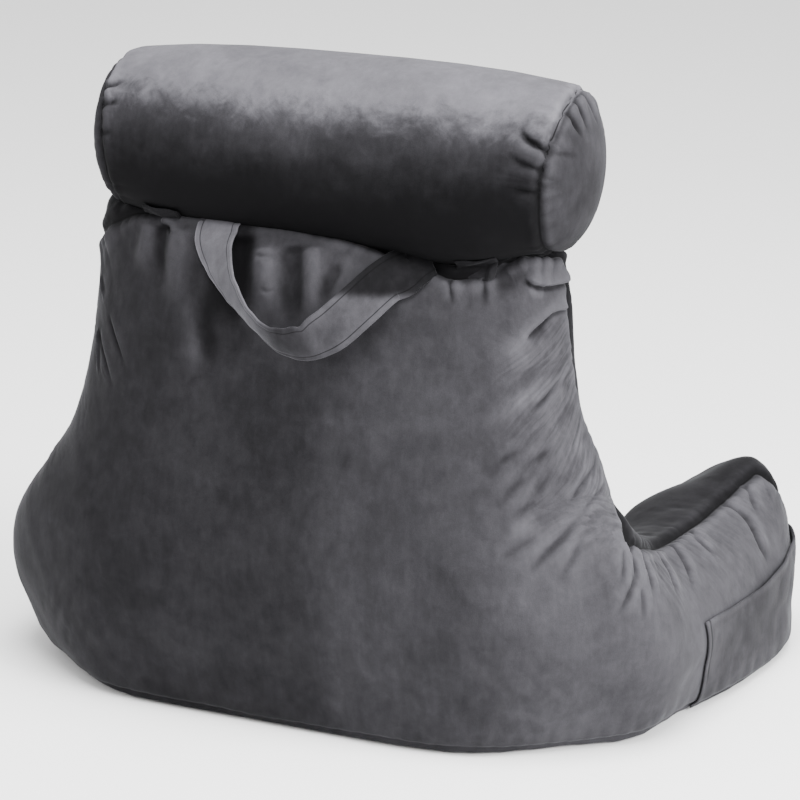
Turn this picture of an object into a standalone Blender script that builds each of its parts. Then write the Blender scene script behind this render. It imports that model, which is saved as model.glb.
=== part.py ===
"""A reading pillow: a filled backrest with two arms, a neck roll on its top edge, a carry strap, two
fastening tabs and a pocket on the outside of one arm.

The origin is the middle of the footprint on the floor, with +Z up. The sitter leans back towards +Y and
looks along -Y, and the pocket is on the -X arm. Lengths are in metres, and angles in degrees until used.
"""

import math
from typing import NamedTuple

import bmesh
import bpy
from mathutils import Vector
from mathutils.bvhtree import BVHTree

# Driving dimensions. The shift brings the middle of the finished pillow's footprint over the origin.
REAR_Y = 0.235
CENTRE_SHIFT = Vector((0.0039, -0.00535, 0.0))
CLEARANCE = 0.0004
SUBDIVISIONS = 2
FLOOR_SIDE = 1.5
FLOOR_DEPTH = 0.3


# The backrest and arms. Their cage is a grid of columns and rows in three layers. The arms are drawn
# forward from the lower outer faces of the front layer.
class Row(NamedTuple):
    """One level of the backrest's cage. Depths run forward from the rear plane."""

    height: float
    half_width: float
    rear: float
    front: float
    corner: float


class Column(NamedTuple):
    """One upright line of the backrest's cage: its share of the half width, and its lift at the top edge."""

    share: float
    lift: float


class Layer(NamedTuple):
    """One layer of the cage through the thickness, and how far its outer columns follow the corner."""

    share: float
    narrowed: float
    drawn_in: float


class ArmStation(NamedTuple):
    """One section of an arm's cage, forward of the backrest: its sides at half height, foot and top."""

    depth: float
    inner: float
    outer: float
    foot: float
    top: float
    bottom: float


ROWS = (
    Row(-0.040, 0.306, 0.020, 0.195, 0.095),
    Row(0.085, 0.377, -0.020, 0.205, 0.070),
    Row(0.175, 0.347, -0.018, 0.180, 0.064),
    Row(0.245, 0.276, -0.006, 0.166, 0.042),
    Row(0.345, 0.257, 0.008, 0.166, 0.040),
    Row(0.430, 0.252, 0.022, 0.165, 0.040),
    Row(0.498, 0.246, 0.038, 0.160, 0.030),
)
COLUMNS = (
    Column(-1.00, 0.012),
    Column(-0.62, -0.052),
    Column(-0.30, -0.014),
    Column(0.00, 0.000),
    Column(0.30, 0.000),
    Column(0.62, 0.000),
    Column(1.00, 0.008),
)
LAYERS = (Layer(0.00, 0.70, 1.00), Layer(0.52, 0.00, 0.00), Layer(1.00, 0.40, 0.00))
ARM_ROWS = 2
ARM_COLUMNS = 1
ARM_STATIONS = (
    ArmStation(0.270, 0.205, 0.370, 0.337, 0.176, -0.050),
    ArmStation(0.355, 0.208, 0.370, 0.358, 0.182, -0.050),
    ArmStation(0.445, 0.214, 0.368, 0.374, 0.203, -0.050),
    ArmStation(0.493, 0.236, 0.342, 0.358, 0.193, -0.045),
)
ARM_SEAM_TUCK = 0.022
ARM_INNER_DROP = 0.016

# The neck roll, a crowned barrel with domed ends, turned about its axis.
ROLL_CENTRE = Vector((-0.016, REAR_Y - 0.112, 0.552))
ROLL_HALF_BARREL = 0.220
ROLL_RADIUS = 0.089
ROLL_SEAM_RADIUS = 0.079
ROLL_CAP = 0.032
ROLL_STEPS = 32
BARREL_STEPS = 8
CAP_STEPS = 5


# The carry strap hangs in a loop from the back's top seam. A turn of 90 stands the strap on its edge.
class StrapStation(NamedTuple):
    """One point of the strap's middle line, on the outside of the back."""

    x: float
    height: float
    stand_off: float
    turn: float


STRAP_WIDTH = 0.044
STRAP_THICKNESS = 0.003
STRAP_LEAST_STAND_OFF = 0.0032
STRAP_ROWS_BETWEEN = 3
EDGE_SEARCH_STEP = 0.004
STRAP_STATIONS = (
    StrapStation(0.085, 0.478, 0.0018, 0.0),
    StrapStation(0.082, 0.463, 0.0080, -14.0),
    StrapStation(0.066, 0.445, 0.0200, -32.0),
    StrapStation(0.048, 0.427, 0.0280, -44.0),
    StrapStation(0.029, 0.410, 0.0310, -52.0),
    StrapStation(0.011, 0.396, 0.0320, -52.0),
    StrapStation(-0.010, 0.388, 0.0320, -44.0),
    StrapStation(-0.034, 0.389, 0.0310, -32.0),
    StrapStation(-0.060, 0.404, 0.0280, -18.0),
    StrapStation(-0.082, 0.426, 0.0210, -8.0),
    StrapStation(-0.102, 0.449, 0.0120, 0.0),
    StrapStation(-0.112, 0.456, 0.0018, 0.0),
)

# The two fastening tabs, each a short band that follows the roll above the back's top seam. Angles are
# about the roll's axis, from straight down towards the rear.
class Tab(NamedTuple):
    """Where one tab lies along the roll and round it."""

    name: str
    centre: float
    start: float


TABS = (Tab("roll_tab_right", 0.146, 47.0), Tab("roll_tab_left", -0.184, 34.0))
TAB_WIDTH = 0.040
TAB_THICKNESS = 0.0024
TAB_ARC = 14.0
TAB_STEPS = 4
TAB_COLUMNS = 4

# The arm pocket: its mouth slopes up to the front, and its lower edges are sewn to the arm's outside.
POCKET_REAR_DEPTH = 0.190
POCKET_REAR_FOOT_DEPTH = 0.214
POCKET_TURN_DEPTH = 0.395
POCKET_TURN = 62.0
POCKET_FOOT = 0.014
POCKET_REAR_MOUTH = 0.090
POCKET_FRONT_MOUTH = 0.132
POCKET_GAPE = 0.0100
POCKET_SEWN_GAP = 0.0013
POCKET_THICKNESS = 0.002
POCKET_SPINE_X = -0.275
POCKET_SIDE_STEPS = 12
POCKET_TURN_STEPS = 10
POCKET_ROWS = 7

# Cloth colours
VELVET = (0.075, 0.075, 0.080)
ROLL_VELVET = (0.090, 0.090, 0.095)
STRAP_VELVET = (0.160, 0.160, 0.168)
VELVET_ROUGHNESS = 0.85
STRAP_ROUGHNESS = 0.75


def clear_scene():
    """Empties the startup scene."""
    for obj in list(bpy.data.objects):
        bpy.data.objects.remove(obj, do_unlink=True)


def material(name, colour, roughness):
    """A plain cloth material."""
    made = bpy.data.materials.new(name)
    made.use_nodes = True
    shader = made.node_tree.nodes["Principled BSDF"]
    shader.inputs["Base Color"].default_value = (*colour, 1.0)
    shader.inputs["Roughness"].default_value = roughness
    shader.inputs["Metallic"].default_value = 0.0
    return made


def add_object(name, data, collection, finish=None):
    """Links a new object to a collection, with its material."""
    obj = bpy.data.objects.new(name, data)
    collection.objects.link(obj)
    if finish:
        data.materials.append(finish)
    return obj


def back_point(column, row, layer):
    """A cage point of the backrest. Its outer columns are drawn in, which rounds the corners in plan."""
    level = ROWS[row]
    through = LAYERS[layer]
    corner = level.corner if column in (0, len(COLUMNS) - 1) else 0.0
    above_arm = row >= ARM_ROWS or layer == 0
    half_width = level.half_width - (corner * through.narrowed if above_arm else 0.0)
    depth = level.rear + through.share * (level.front - level.rear) + corner * through.drawn_in
    lift = COLUMNS[column].lift if row == len(ROWS) - 1 else 0.0
    return Vector((COLUMNS[column].share * half_width, REAR_Y - depth, level.height + lift))


def arm_point(column, row, station):
    """A cage point of an arm, at one of its stations."""
    section = ARM_STATIONS[station]
    side = 1 if column > len(COLUMNS) // 2 else -1
    across = min(column, len(COLUMNS) - 1 - column) / ARM_COLUMNS
    outer = (section.foot, section.outer, section.outer - ARM_SEAM_TUCK)[row]
    top = section.top - across * ARM_INNER_DROP
    x = outer + across * (section.inner - outer)
    height = section.bottom + row / ARM_ROWS * (top - section.bottom)
    return Vector((side * x, REAR_Y - section.depth, height))


def body_cage():
    """The backrest's grid, given thickness, with an arm drawn forward at each side."""
    bm = bmesh.new()
    keys = {name: bm.verts.layers.int.new(name) for name in ("column", "row", "layer")}
    bmesh.ops.create_grid(bm, x_segments=len(COLUMNS) - 1, y_segments=len(ROWS) - 1, size=0.5)
    for vert in bm.verts:
        vert[keys["column"]] = round((vert.co.x + 0.5) * (len(COLUMNS) - 1))
        vert[keys["row"]] = round((vert.co.y + 0.5) * (len(ROWS) - 1))
    front = list(bm.faces)
    for layer in range(1, len(LAYERS)):
        front = extrude(bm, front, keys["layer"], layer, keep=layer == 1)
    arms = [face for face in front if in_arm(face, keys)]
    for station in range(len(ARM_STATIONS)):
        arms = extrude(bm, arms, keys["layer"], len(LAYERS) + station)
    for vert in bm.verts:
        layer = vert[keys["layer"]]
        if layer < len(LAYERS):
            vert.co = back_point(vert[keys["column"]], vert[keys["row"]], layer)
        else:
            vert.co = arm_point(vert[keys["column"]], vert[keys["row"]], layer - len(LAYERS))
    bmesh.ops.recalc_face_normals(bm, faces=bm.faces)
    mesh = bpy.data.meshes.new("body")
    bm.to_mesh(mesh)
    bm.free()
    return mesh


def in_arm(face, keys):
    """Whether an arm grows from this face of the backrest's front."""
    last = len(COLUMNS) - 1
    low = all(vert[keys["row"]] <= ARM_ROWS for vert in face.verts)
    from_side = [min(vert[keys["column"]], last - vert[keys["column"]]) for vert in face.verts]
    return low and max(from_side) <= ARM_COLUMNS


def extrude(bm, faces, layer_key, layer, keep=False):
    """Extrudes faces, marks the new points with their layer and returns the moved faces."""
    made = bmesh.ops.extrude_face_region(bm, geom=faces)["geom"]
    if not keep:
        bmesh.ops.delete(bm, geom=faces, context="FACES")
    for item in made:
        if isinstance(item, bmesh.types.BMVert):
            item[layer_key] = layer
    return [item for item in made if isinstance(item, bmesh.types.BMFace)]


def roll_outline(grow):
    """The roll's outline from end to end: domed cap, drawn-in seam, crowned barrel, and cap again."""
    cap = []
    for i in range(CAP_STEPS + 1):
        turn = math.pi / 2 * i / CAP_STEPS
        cap.append((ROLL_SEAM_RADIUS * math.sin(turn), ROLL_HALF_BARREL + ROLL_CAP * math.cos(turn)))
    barrel = []
    for i in range(1, BARREL_STEPS):
        along = 1 - 2 * i / BARREL_STEPS
        crown = 1 - abs(along) ** 3
        barrel.append((ROLL_SEAM_RADIUS + (ROLL_RADIUS - ROLL_SEAM_RADIUS) * crown, along * ROLL_HALF_BARREL))
    outline = cap + barrel + [(radius, -z) for radius, z in reversed(cap)]
    stretch = 1 + grow / (ROLL_HALF_BARREL + ROLL_CAP)
    return [(radius + (grow if radius > grow else 0.0), z * stretch) for radius, z in outline]


def add_roll(name, collection, finish=None, grow=0.0):
    """The turned roll, lying along X on the backrest's top edge."""
    mesh = bpy.data.meshes.new(name)
    points = [(radius, 0.0, z) for radius, z in roll_outline(grow)]
    mesh.from_pydata(points, [(i, i + 1) for i in range(len(points) - 1)], [])
    obj = add_object(name, mesh, collection, finish)
    obj.location = ROLL_CENTRE
    obj.rotation_euler = (0.0, math.pi / 2, 0.0)
    turned = obj.modifiers.new("turned", "SCREW")
    turned.steps = ROLL_STEPS
    turned.render_steps = ROLL_STEPS
    turned.use_merge_vertices = True
    turned.merge_threshold = 0.0001
    return obj


def hide(obj):
    """Marks a cutter, which isn't a piece of the pillow."""
    obj.hide_render = True
    obj.display_type = "WIRE"
    return obj


def floor_cutter(collection):
    """A block whose top is the floor, which flattens what rests on it."""
    bm = bmesh.new()
    bmesh.ops.create_cube(bm, size=1.0)
    mesh = bpy.data.meshes.new("floor")
    bm.to_mesh(mesh)
    bm.free()
    floor = hide(add_object("floor", mesh, collection))
    floor.scale = (FLOOR_SIDE, FLOOR_SIDE, FLOOR_DEPTH)
    floor.location = (0.0, 0.0, -FLOOR_DEPTH / 2)
    return floor


def smooth_between(stations, steps):
    """Points on a Catmull-Rom curve through the stations, which are tuples of numbers."""
    ends = [stations[0], *stations, stations[-1]]
    points = []
    for i in range(len(stations) - 1):
        before, start, end, after = (Vector(p) for p in ends[i : i + 4])
        for step in range(steps):
            t = step / steps
            points.append(
                0.5 * (2 * start + (end - before) * t + (2 * before - 5 * start + 4 * end - after) * t**2
                       + (3 * start - before - 3 * end + after) * t**3)
            )
    return points + [Vector(stations[-1])]


def sheet_of(name, rows, thickness, collection, finish, offset):
    """A sheet from rows of points, given its thickness."""
    bm = bmesh.new()
    bmesh.ops.create_grid(bm, x_segments=len(rows[0]) - 1, y_segments=len(rows) - 1, size=0.5)
    for vert in bm.verts:
        column = round((vert.co.x + 0.5) * (len(rows[0]) - 1))
        row = round((vert.co.y + 0.5) * (len(rows) - 1))
        vert.co = rows[row][column]
    mesh = bpy.data.meshes.new(name)
    bm.to_mesh(mesh)
    bm.free()
    obj = add_object(name, mesh, collection, finish)
    thick = obj.modifiers.new("thickness", "SOLIDIFY")
    thick.thickness = thickness
    thick.offset = offset
    return obj


def surface_of(obj):
    """The object's evaluated surface, for placing what is sewn to it."""
    bpy.context.view_layer.update()
    return BVHTree.FromObject(obj, bpy.context.evaluated_depsgraph_get())


def back_surface_y(surface, x, height):
    """The Y where a ray from behind meets the backrest's rear, or its edge below a point above it."""
    hit = None
    while hit is None:
        hit = surface.ray_cast(Vector((x, 1.0, height)), Vector((0.0, -1.0, 0.0)))[0]
        height -= EDGE_SEARCH_STEP
    return hit.y


def pushed_clear(surface, place, least):
    """The place, moved out along the surface's normal where it is nearer than the least distance."""
    nearest, normal, _, _ = surface.find_nearest(place)
    return place + normal * max(0.0, least - (place - nearest).dot(normal))


def add_strap(surface, collection, finish):
    """The carry strap, a band that turns as it hangs, clear of the back."""
    middle = smooth_between(STRAP_STATIONS, STRAP_ROWS_BETWEEN)
    rows = []
    for i, point in enumerate(middle):
        x, height, stand_off, turn = point
        ahead = middle[min(i + 1, len(middle) - 1)]
        behind = middle[max(i - 1, 0)]
        along = Vector((ahead[0] - behind[0], 0.0, ahead[1] - behind[1])).normalized()
        inward = Vector((-along.z, 0.0, along.x))
        across = inward * math.cos(math.radians(turn)) + Vector((0.0, math.sin(math.radians(turn)), 0.0))
        row = []
        for share in (-0.5, -0.25, 0.0, 0.25, 0.5):
            place = Vector((x, 0.0, height)) + across * (share * STRAP_WIDTH)
            clear = max(stand_off, STRAP_LEAST_STAND_OFF - place.y)
            place.y += back_surface_y(surface, place.x, place.z) + clear
            row.append(pushed_clear(surface, place, STRAP_LEAST_STAND_OFF))
        rows.append(row)
    return sheet_of("carry_handle", rows, STRAP_THICKNESS, collection, finish, offset=0.0)


def add_tab(tab, collection, finish):
    """One tab, an arc about the roll's axis, just outside the roll."""
    rows = []
    for i in range(TAB_STEPS + 1):
        angle = math.radians(tab.start + TAB_ARC * i / TAB_STEPS)
        row = []
        for j in range(TAB_COLUMNS + 1):
            x = tab.centre + TAB_WIDTH * (j / TAB_COLUMNS - 0.5)
            along = abs(x - ROLL_CENTRE.x) / ROLL_HALF_BARREL
            radius = ROLL_SEAM_RADIUS + (ROLL_RADIUS - ROLL_SEAM_RADIUS) * (1 - along**3) + 2 * CLEARANCE
            from_axis = Vector((x - ROLL_CENTRE.x, radius * math.sin(angle), -radius * math.cos(angle)))
            row.append(ROLL_CENTRE + from_axis)
        rows.append(row)
    return sheet_of(tab.name, rows, TAB_THICKNESS, collection, finish, offset=-1.0)


def pocket_columns(up):
    """Each column of the pocket: its depth, the turn of its outward direction, its share of the mouth."""
    steps = POCKET_SIDE_STEPS + POCKET_TURN_STEPS
    rear = POCKET_REAR_FOOT_DEPTH + up * (POCKET_REAR_DEPTH - POCKET_REAR_FOOT_DEPTH)
    for i in range(steps + 1):
        along = min(i / POCKET_SIDE_STEPS, 1.0)
        depth = rear + along * (POCKET_TURN_DEPTH - rear)
        turn = max(0.0, (i - POCKET_SIDE_STEPS) / POCKET_TURN_STEPS) * math.radians(POCKET_TURN)
        yield depth, turn, i / steps


def add_pocket(surface, collection, finish):
    """The pocket, a sheet on the arm's outer side that gapes at its mouth and wraps round the front."""
    rows = []
    for j in range(POCKET_ROWS + 1):
        up = j / POCKET_ROWS
        row = []
        for depth, turn, share in pocket_columns(up):
            mouth = POCKET_REAR_MOUTH + share * (POCKET_FRONT_MOUTH - POCKET_REAR_MOUTH)
            start = Vector((POCKET_SPINE_X, REAR_Y - depth, POCKET_FOOT + up * (mouth - POCKET_FOOT)))
            outward = Vector((-math.cos(turn), -math.sin(turn), 0.0))
            hit, normal, _, _ = surface.ray_cast(start, outward)
            gape = POCKET_GAPE * up * math.sin(math.pi * share)
            row.append(hit + normal * (POCKET_SEWN_GAP + gape))
        rows.append(row)
    return sheet_of("arm_pocket", rows, POCKET_THICKNESS, collection, finish, offset=1.0)


def main():
    clear_scene()
    scene = bpy.context.scene
    parts = bpy.data.collections.new("reading_pillow")
    cutters = bpy.data.collections.new("cutters")
    scene.collection.children.link(parts)
    scene.collection.children.link(cutters)
    body = add_object("body", body_cage(), parts, material("body_velvet", VELVET, VELVET_ROUGHNESS))
    smooth = body.modifiers.new("filling", "SUBSURF")
    smooth.levels = SUBDIVISIONS
    smooth.render_levels = SUBDIVISIONS
    flat = body.modifiers.new("flat base", "BOOLEAN")
    flat.solver = "EXACT"
    flat.operation = "DIFFERENCE"
    flat.object = floor_cutter(cutters)
    seat = body.modifiers.new("roll seat", "BOOLEAN")
    seat.solver = "EXACT"
    seat.operation = "DIFFERENCE"
    seat.object = hide(add_roll("roll_space", cutters, grow=CLEARANCE))
    add_roll("neck_roll", parts, material("roll_velvet", ROLL_VELVET, VELVET_ROUGHNESS))
    surface = surface_of(body)
    add_strap(surface, parts, material("strap_velvet", STRAP_VELVET, STRAP_ROUGHNESS))
    for tab in TABS:
        add_tab(tab, parts, material(f"{tab.name}_velvet", STRAP_VELVET, STRAP_ROUGHNESS))
    add_pocket(surface, parts, material("pocket_velvet", VELVET, VELVET_ROUGHNESS))
    for obj in (*parts.objects, *cutters.objects):
        obj.location += CENTRE_SHIFT


main()
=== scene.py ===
"""A reading pillow, finished in dark velvet.

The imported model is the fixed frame. The backrest with its arms and the neck roll are cushions,
filled out by a cloth simulation between their sewn seams. The carry strap, the fastening tabs and
the arm pocket are cloth sheets. Lengths are in metres and angles in degrees, unless a note says
otherwise.
"""

import logging
import math
from collections.abc import Callable, Iterable, Sequence
from dataclasses import dataclass, field
from enum import Enum
from typing import NamedTuple

import bmesh
import bpy
import numpy as np
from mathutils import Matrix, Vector
from mathutils.bvhtree import BVHTree
from mathutils.kdtree import KDTree


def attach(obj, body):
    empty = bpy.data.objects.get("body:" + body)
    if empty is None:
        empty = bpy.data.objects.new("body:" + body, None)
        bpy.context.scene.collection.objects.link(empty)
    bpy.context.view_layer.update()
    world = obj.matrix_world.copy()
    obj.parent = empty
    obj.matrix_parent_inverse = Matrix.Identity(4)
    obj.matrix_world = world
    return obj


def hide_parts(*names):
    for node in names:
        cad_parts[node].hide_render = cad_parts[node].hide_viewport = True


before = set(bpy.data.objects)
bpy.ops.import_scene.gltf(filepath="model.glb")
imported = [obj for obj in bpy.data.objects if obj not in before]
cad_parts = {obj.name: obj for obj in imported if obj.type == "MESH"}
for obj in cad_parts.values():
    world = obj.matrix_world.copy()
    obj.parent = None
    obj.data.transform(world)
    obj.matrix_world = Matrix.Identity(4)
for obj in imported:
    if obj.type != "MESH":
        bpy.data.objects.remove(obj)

log = logging.getLogger("reading_pillow")

ROOT = "root"
WELD = 0.00002
ROLL_GAP = 0.0008


# ------------------------------------------------------------------------------------------------
# Small helpers for objects and curves


def select_only(piece: bpy.types.Object) -> None:
    """Makes one object the only selected and active one.

    Args:
        piece: The object.
    """
    if bpy.context.mode != "OBJECT":
        bpy.ops.object.mode_set(mode="OBJECT")
    bpy.ops.object.select_all(action="DESELECT")
    piece.select_set(True)
    bpy.context.view_layer.objects.active = piece


def apply_modifiers(piece: bpy.types.Object) -> None:
    """Applies every modifier of an object, first to last.

    Args:
        piece: The object.
    """
    select_only(piece)
    for modifier in list(piece.modifiers):
        bpy.ops.object.modifier_apply(modifier=modifier.name)


def face_outwards(piece: bpy.types.Object, weld: float = 0.0) -> None:
    """Turns every face of an object outwards.

    Args:
        piece: The object.
        weld: Points closer than this are merged first.
    """
    select_only(piece)
    bpy.ops.object.mode_set(mode="EDIT")
    bpy.ops.mesh.select_all(action="SELECT")
    if weld:
        bpy.ops.mesh.remove_doubles(threshold=weld)
    bpy.ops.mesh.normals_make_consistent(inside=False)
    bpy.ops.object.mode_set(mode="OBJECT")


def merged_copy(node: str, name: str) -> bpy.types.Object:
    """Copies a node of the frame as a new object whose points are merged.

    Args:
        node: The node's name.
        name: The new object's name.

    Returns:
        The new object.
    """
    piece = bpy.data.objects.new(name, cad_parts[node].data.copy())
    piece.data.name = name
    piece.data.materials.clear()
    bpy.context.scene.collection.objects.link(piece)
    face_outwards(piece, WELD)
    return piece


def in_metres(place: Sequence[float]) -> tuple[float, ...]:
    """A place whose numbers were in millimetres."""
    return tuple(number / 1000 for number in place)


def curve_through(stations: Sequence[Sequence[float]], step: float) -> np.ndarray:
    """Runs a Catmull-Rom curve through stations.

    Args:
        stations: Rows of numbers, the first three of which are a place.
        step: The distance between the points that are returned.

    Returns:
        One row for each point, with as many numbers as a station has.
    """
    rows = np.array(stations, float)
    ends = np.vstack([2 * rows[0] - rows[1], rows, 2 * rows[-1] - rows[-2]])
    points = []
    for i in range(len(rows) - 1):
        before, start, end, after = ends[i : i + 4]
        count = max(1, round(float(np.linalg.norm(end[:3] - start[:3])) / step))
        for t in np.arange(count) / count:
            points.append(
                0.5
                * (
                    2 * start
                    + (end - before) * t
                    + (2 * before - 5 * start + 4 * end - after) * t**2
                    + (3 * start - before - 3 * end + after) * t**3
                )
            )
    return np.array([*points, rows[-1]])


def smoothstep(low: float, high: float, value: np.ndarray) -> np.ndarray:
    """Rises smoothly from 0 where a value is low to 1 where it is high, which may be below low."""
    t = np.clip((value - low) / (high - low), 0.0, 1.0)
    return t * t * (3 - 2 * t)


def bell(away: np.ndarray | float, width: float = 1.0) -> np.ndarray:
    """A smooth bump: 1 in its middle, falling to 0 over about twice its width."""
    return np.exp(-((away / width) ** 2))


def unit(rows: np.ndarray) -> np.ndarray:
    """Vectors brought to a length of 1."""
    return rows / np.maximum(np.linalg.norm(rows, axis=1), 1e-9)[:, None]


def run_along(points: np.ndarray) -> np.ndarray:
    """How far along a line of points each of them lies."""
    return np.concatenate([[0.0], np.cumsum(np.linalg.norm(np.diff(points, axis=0), axis=1))])


def wander(along: np.ndarray, length: float, seed: float) -> np.ndarray:
    """A smooth uneven line between about -1 and 1.

    Args:
        along: Where along the line, in the units of length.
        length: The length of its longer swings.
        seed: A number that picks one line of many.

    Returns:
        The line's value at each place.
    """
    turn = 2 * math.pi * along / length
    return (
        np.sin(turn + 1.7 * seed)
        + 0.6 * np.sin(1.83 * turn + 4.1 * seed + 1.0)
        + 0.4 * np.sin(3.37 * turn + 2.3 * seed + 2.0)
    ) / 1.6


# ------------------------------------------------------------------------------------------------
# Cloth surfaces


class Skin:
    """The points and normals of a piece's mesh, which folds and seams move."""

    def __init__(self, piece: bpy.types.Object) -> None:
        """Reads the piece's mesh."""
        self.piece = piece
        self.read()

    def read(self) -> None:
        """Reads the points, the normals and the surface's search tree from the mesh."""
        mesh = self.piece.data
        flat = np.empty(3 * len(mesh.vertices), np.float32)
        mesh.vertices.foreach_get("co", flat)
        self.points = flat.reshape(-1, 3).astype(float)
        mesh.vertex_normals.foreach_get("vector", flat)
        self.normals = flat.reshape(-1, 3).astype(float)
        builder = bmesh.new()
        builder.from_mesh(mesh)
        self.tree = BVHTree.FromBMesh(builder)
        builder.free()

    def write(self) -> None:
        """Writes the points to the mesh and reads its normals again."""
        mesh = self.piece.data
        mesh.vertices.foreach_set("co", self.points.astype(np.float32).ravel())
        mesh.update()
        self.read()

    def push(self, amounts: np.ndarray) -> None:
        """Moves each point along its normal by its own distance."""
        self.points += self.normals * amounts[:, None]
        self.write()

    def store(self, name: str, values: np.ndarray) -> None:
        """Keeps one number for each point as an attribute that the finishes read.

        Args:
            name: The attribute's name.
            values: One number for each point.
        """
        attributes = self.piece.data.attributes
        attribute = attributes.get(name) or attributes.new(name, "FLOAT", "POINT")
        attribute.data.foreach_set("value", values.astype(np.float32))

    def lifted(self, place: Vector, least: float) -> Vector:
        """Moves a place away from the surface where it lies too near.

        Args:
            place: The place.
            least: The least distance between the two.

        Returns:
            The place, at least that far out.
        """
        nearest, outward, _, _ = self.tree.find_nearest(place)
        return place + outward * max(0.0, least - (place - nearest).dot(outward))

    def boxed(self, places: np.ndarray, margin: float) -> np.ndarray:
        """Finds the points inside the box round some places.

        Args:
            places: The places.
            margin: How much larger the box is on each side.

        Returns:
            The points' indices.
        """
        low = places.min(axis=0) - margin
        high = places.max(axis=0) + margin
        return np.nonzero(((self.points > low) & (self.points < high)).all(axis=1))[0]


class Near(NamedTuple):
    """The points of a skin that lie near a trace.

    Attributes:
        index: Which points they are.
        along: How far along the trace each lies.
        share: The same, as a share of the trace's length.
        aside: How far beside it each lies, above zero on its left.
    """

    index: np.ndarray
    along: np.ndarray
    share: np.ndarray
    aside: np.ndarray


class Trace:
    """A line laid on a skin, as closely spaced points with their tangents."""

    STEP = 0.002

    def __init__(self, stations: Sequence[Sequence[float]], skin: Skin) -> None:
        """Lays the line.

        Args:
            stations: Rows whose first three numbers are a place near the skin.
            skin: The skin.
        """
        rows = curve_through(stations, self.STEP)
        self.extra = rows[:, 3:]
        places = rows[:, :3]
        for _ in range(2):
            found = [skin.tree.find_nearest(Vector(place)) for place in places]
            places = np.array([hit[0] for hit in found])
            places[1:-1] = (places[:-2] + 2 * places[1:-1] + places[2:]) / 4
        normals = np.array([hit[1] for hit in found])
        self.places = places
        self.tangents = unit(np.gradient(places, axis=0))
        self.sideways = unit(np.cross(normals, self.tangents))
        self.along = run_along(places)

    def near(self, skin: Skin, reach: float) -> Near:
        """Finds the points of a skin within reach of the line.

        Args:
            skin: The skin.
            reach: The distance.

        Returns:
            The points, with their distance along the line, their share of its length and their
            signed distance beside it.
        """
        boxed = skin.boxed(self.places, reach)
        tree = KDTree(len(self.places))
        for i, place in enumerate(self.places):
            tree.insert(place, i)
        tree.balance()
        found = [tree.find(skin.points[i])[1:] for i in boxed]
        nearest = np.array([hit[0] for hit in found], int)
        distance = np.array([hit[1] for hit in found])
        kept = distance < reach
        index, nearest = boxed[kept], nearest[kept]
        offset = skin.points[index] - self.places[nearest]
        forward = (offset * self.tangents[nearest]).sum(axis=1)
        side = (offset * self.sideways[nearest]).sum(axis=1)
        beside = np.sqrt(np.maximum((offset**2).sum(axis=1) - forward**2, 0.0))
        inside = (nearest > 0) & (nearest < len(self.places) - 1)
        beside = np.where(inside, beside, np.linalg.norm(offset, axis=1))
        along = self.along[nearest] + np.where(inside, forward, 0.0)
        return Near(index, along, along / self.along[-1], np.copysign(beside, side))

    def extra_at(self, near: Near, column: int) -> np.ndarray:
        """One of the stations' extra numbers, by its column, where each near point lies."""
        return np.interp(near.along, self.along, self.extra[:, column])


class FoldShape(Enum):
    """How a fold runs across."""

    SOFT = "a rounded ridge, or a hollow where its height is negative"
    CREASE = "a narrow valley with a rounded ridge on its left"
    TUCK = "cloth that laps over itself, high on the left"


@dataclass(frozen=True)
class Fold:
    """One fold, laid on a cushion.

    Attributes:
        shape: How it runs across.
        width: Its width.
        height: How far it stands out.
        places: Where it runs, as places near the surface.
        fades: The shares of its length over which it fades in and out.
    """

    shape: FoldShape
    width: float
    height: float
    places: tuple[tuple[float, float, float], ...]
    fades: tuple[float, float] = (0.3, 0.4)

    def add_to(self, skin: Skin, amounts: np.ndarray) -> None:
        """Adds the fold to the distances by which a skin's points will move.

        Args:
            skin: The skin.
            amounts: The distances, which it changes.
        """
        near = Trace(self.places, skin).near(skin, 3.2 * self.width)
        if not len(near.index):
            return
        across = near.aside / self.width
        if self.shape is FoldShape.SOFT:
            height = bell(across)
        elif self.shape is FoldShape.CREASE:
            height = 0.55 * bell(across - 0.95, 0.7) - bell(across, 0.32)
            height += 0.25 * bell(across + 0.9, 0.7)
        else:
            lap = smoothstep(-0.06, 0.22, across) * np.exp(-np.maximum(across, 0.0) ** 2 / 1.6)
            height = lap - 0.55 * bell(across + 0.16, 0.25)
        inward, outward = self.fades
        fade = smoothstep(0.0, inward, near.share) * smoothstep(1.0, 1.0 - outward, near.share)
        np.add.at(amounts, near.index, self.height * height * fade)


def heights_of(folds: Iterable[Fold], skin: Skin) -> np.ndarray:
    """How far some folds move a skin's points together.

    Args:
        folds: The folds.
        skin: The skin.

    Returns:
        One distance for each point.
    """
    amounts = np.zeros(len(skin.points))
    for fold in folds:
        fold.add_to(skin, amounts)
    return amounts


def finer_along(folds: Iterable[Fold]) -> list[tuple[Sequence, float]]:
    """The lines along which folds need finer facets, with how far from each."""
    return [(fold.places, 1.7 * fold.width) for fold in folds]


def folds_from(table: Iterable[tuple]) -> tuple[Fold, ...]:
    """Makes folds from a table whose lengths are in millimetres.

    Args:
        table: Rows of shape, width, height, fades and places.

    Returns:
        The folds.
    """
    return tuple(
        Fold(shape, width / 1000, height / 1000, tuple(map(in_metres, places)), fades)
        for shape, width, height, fades, *places in table
    )


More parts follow.
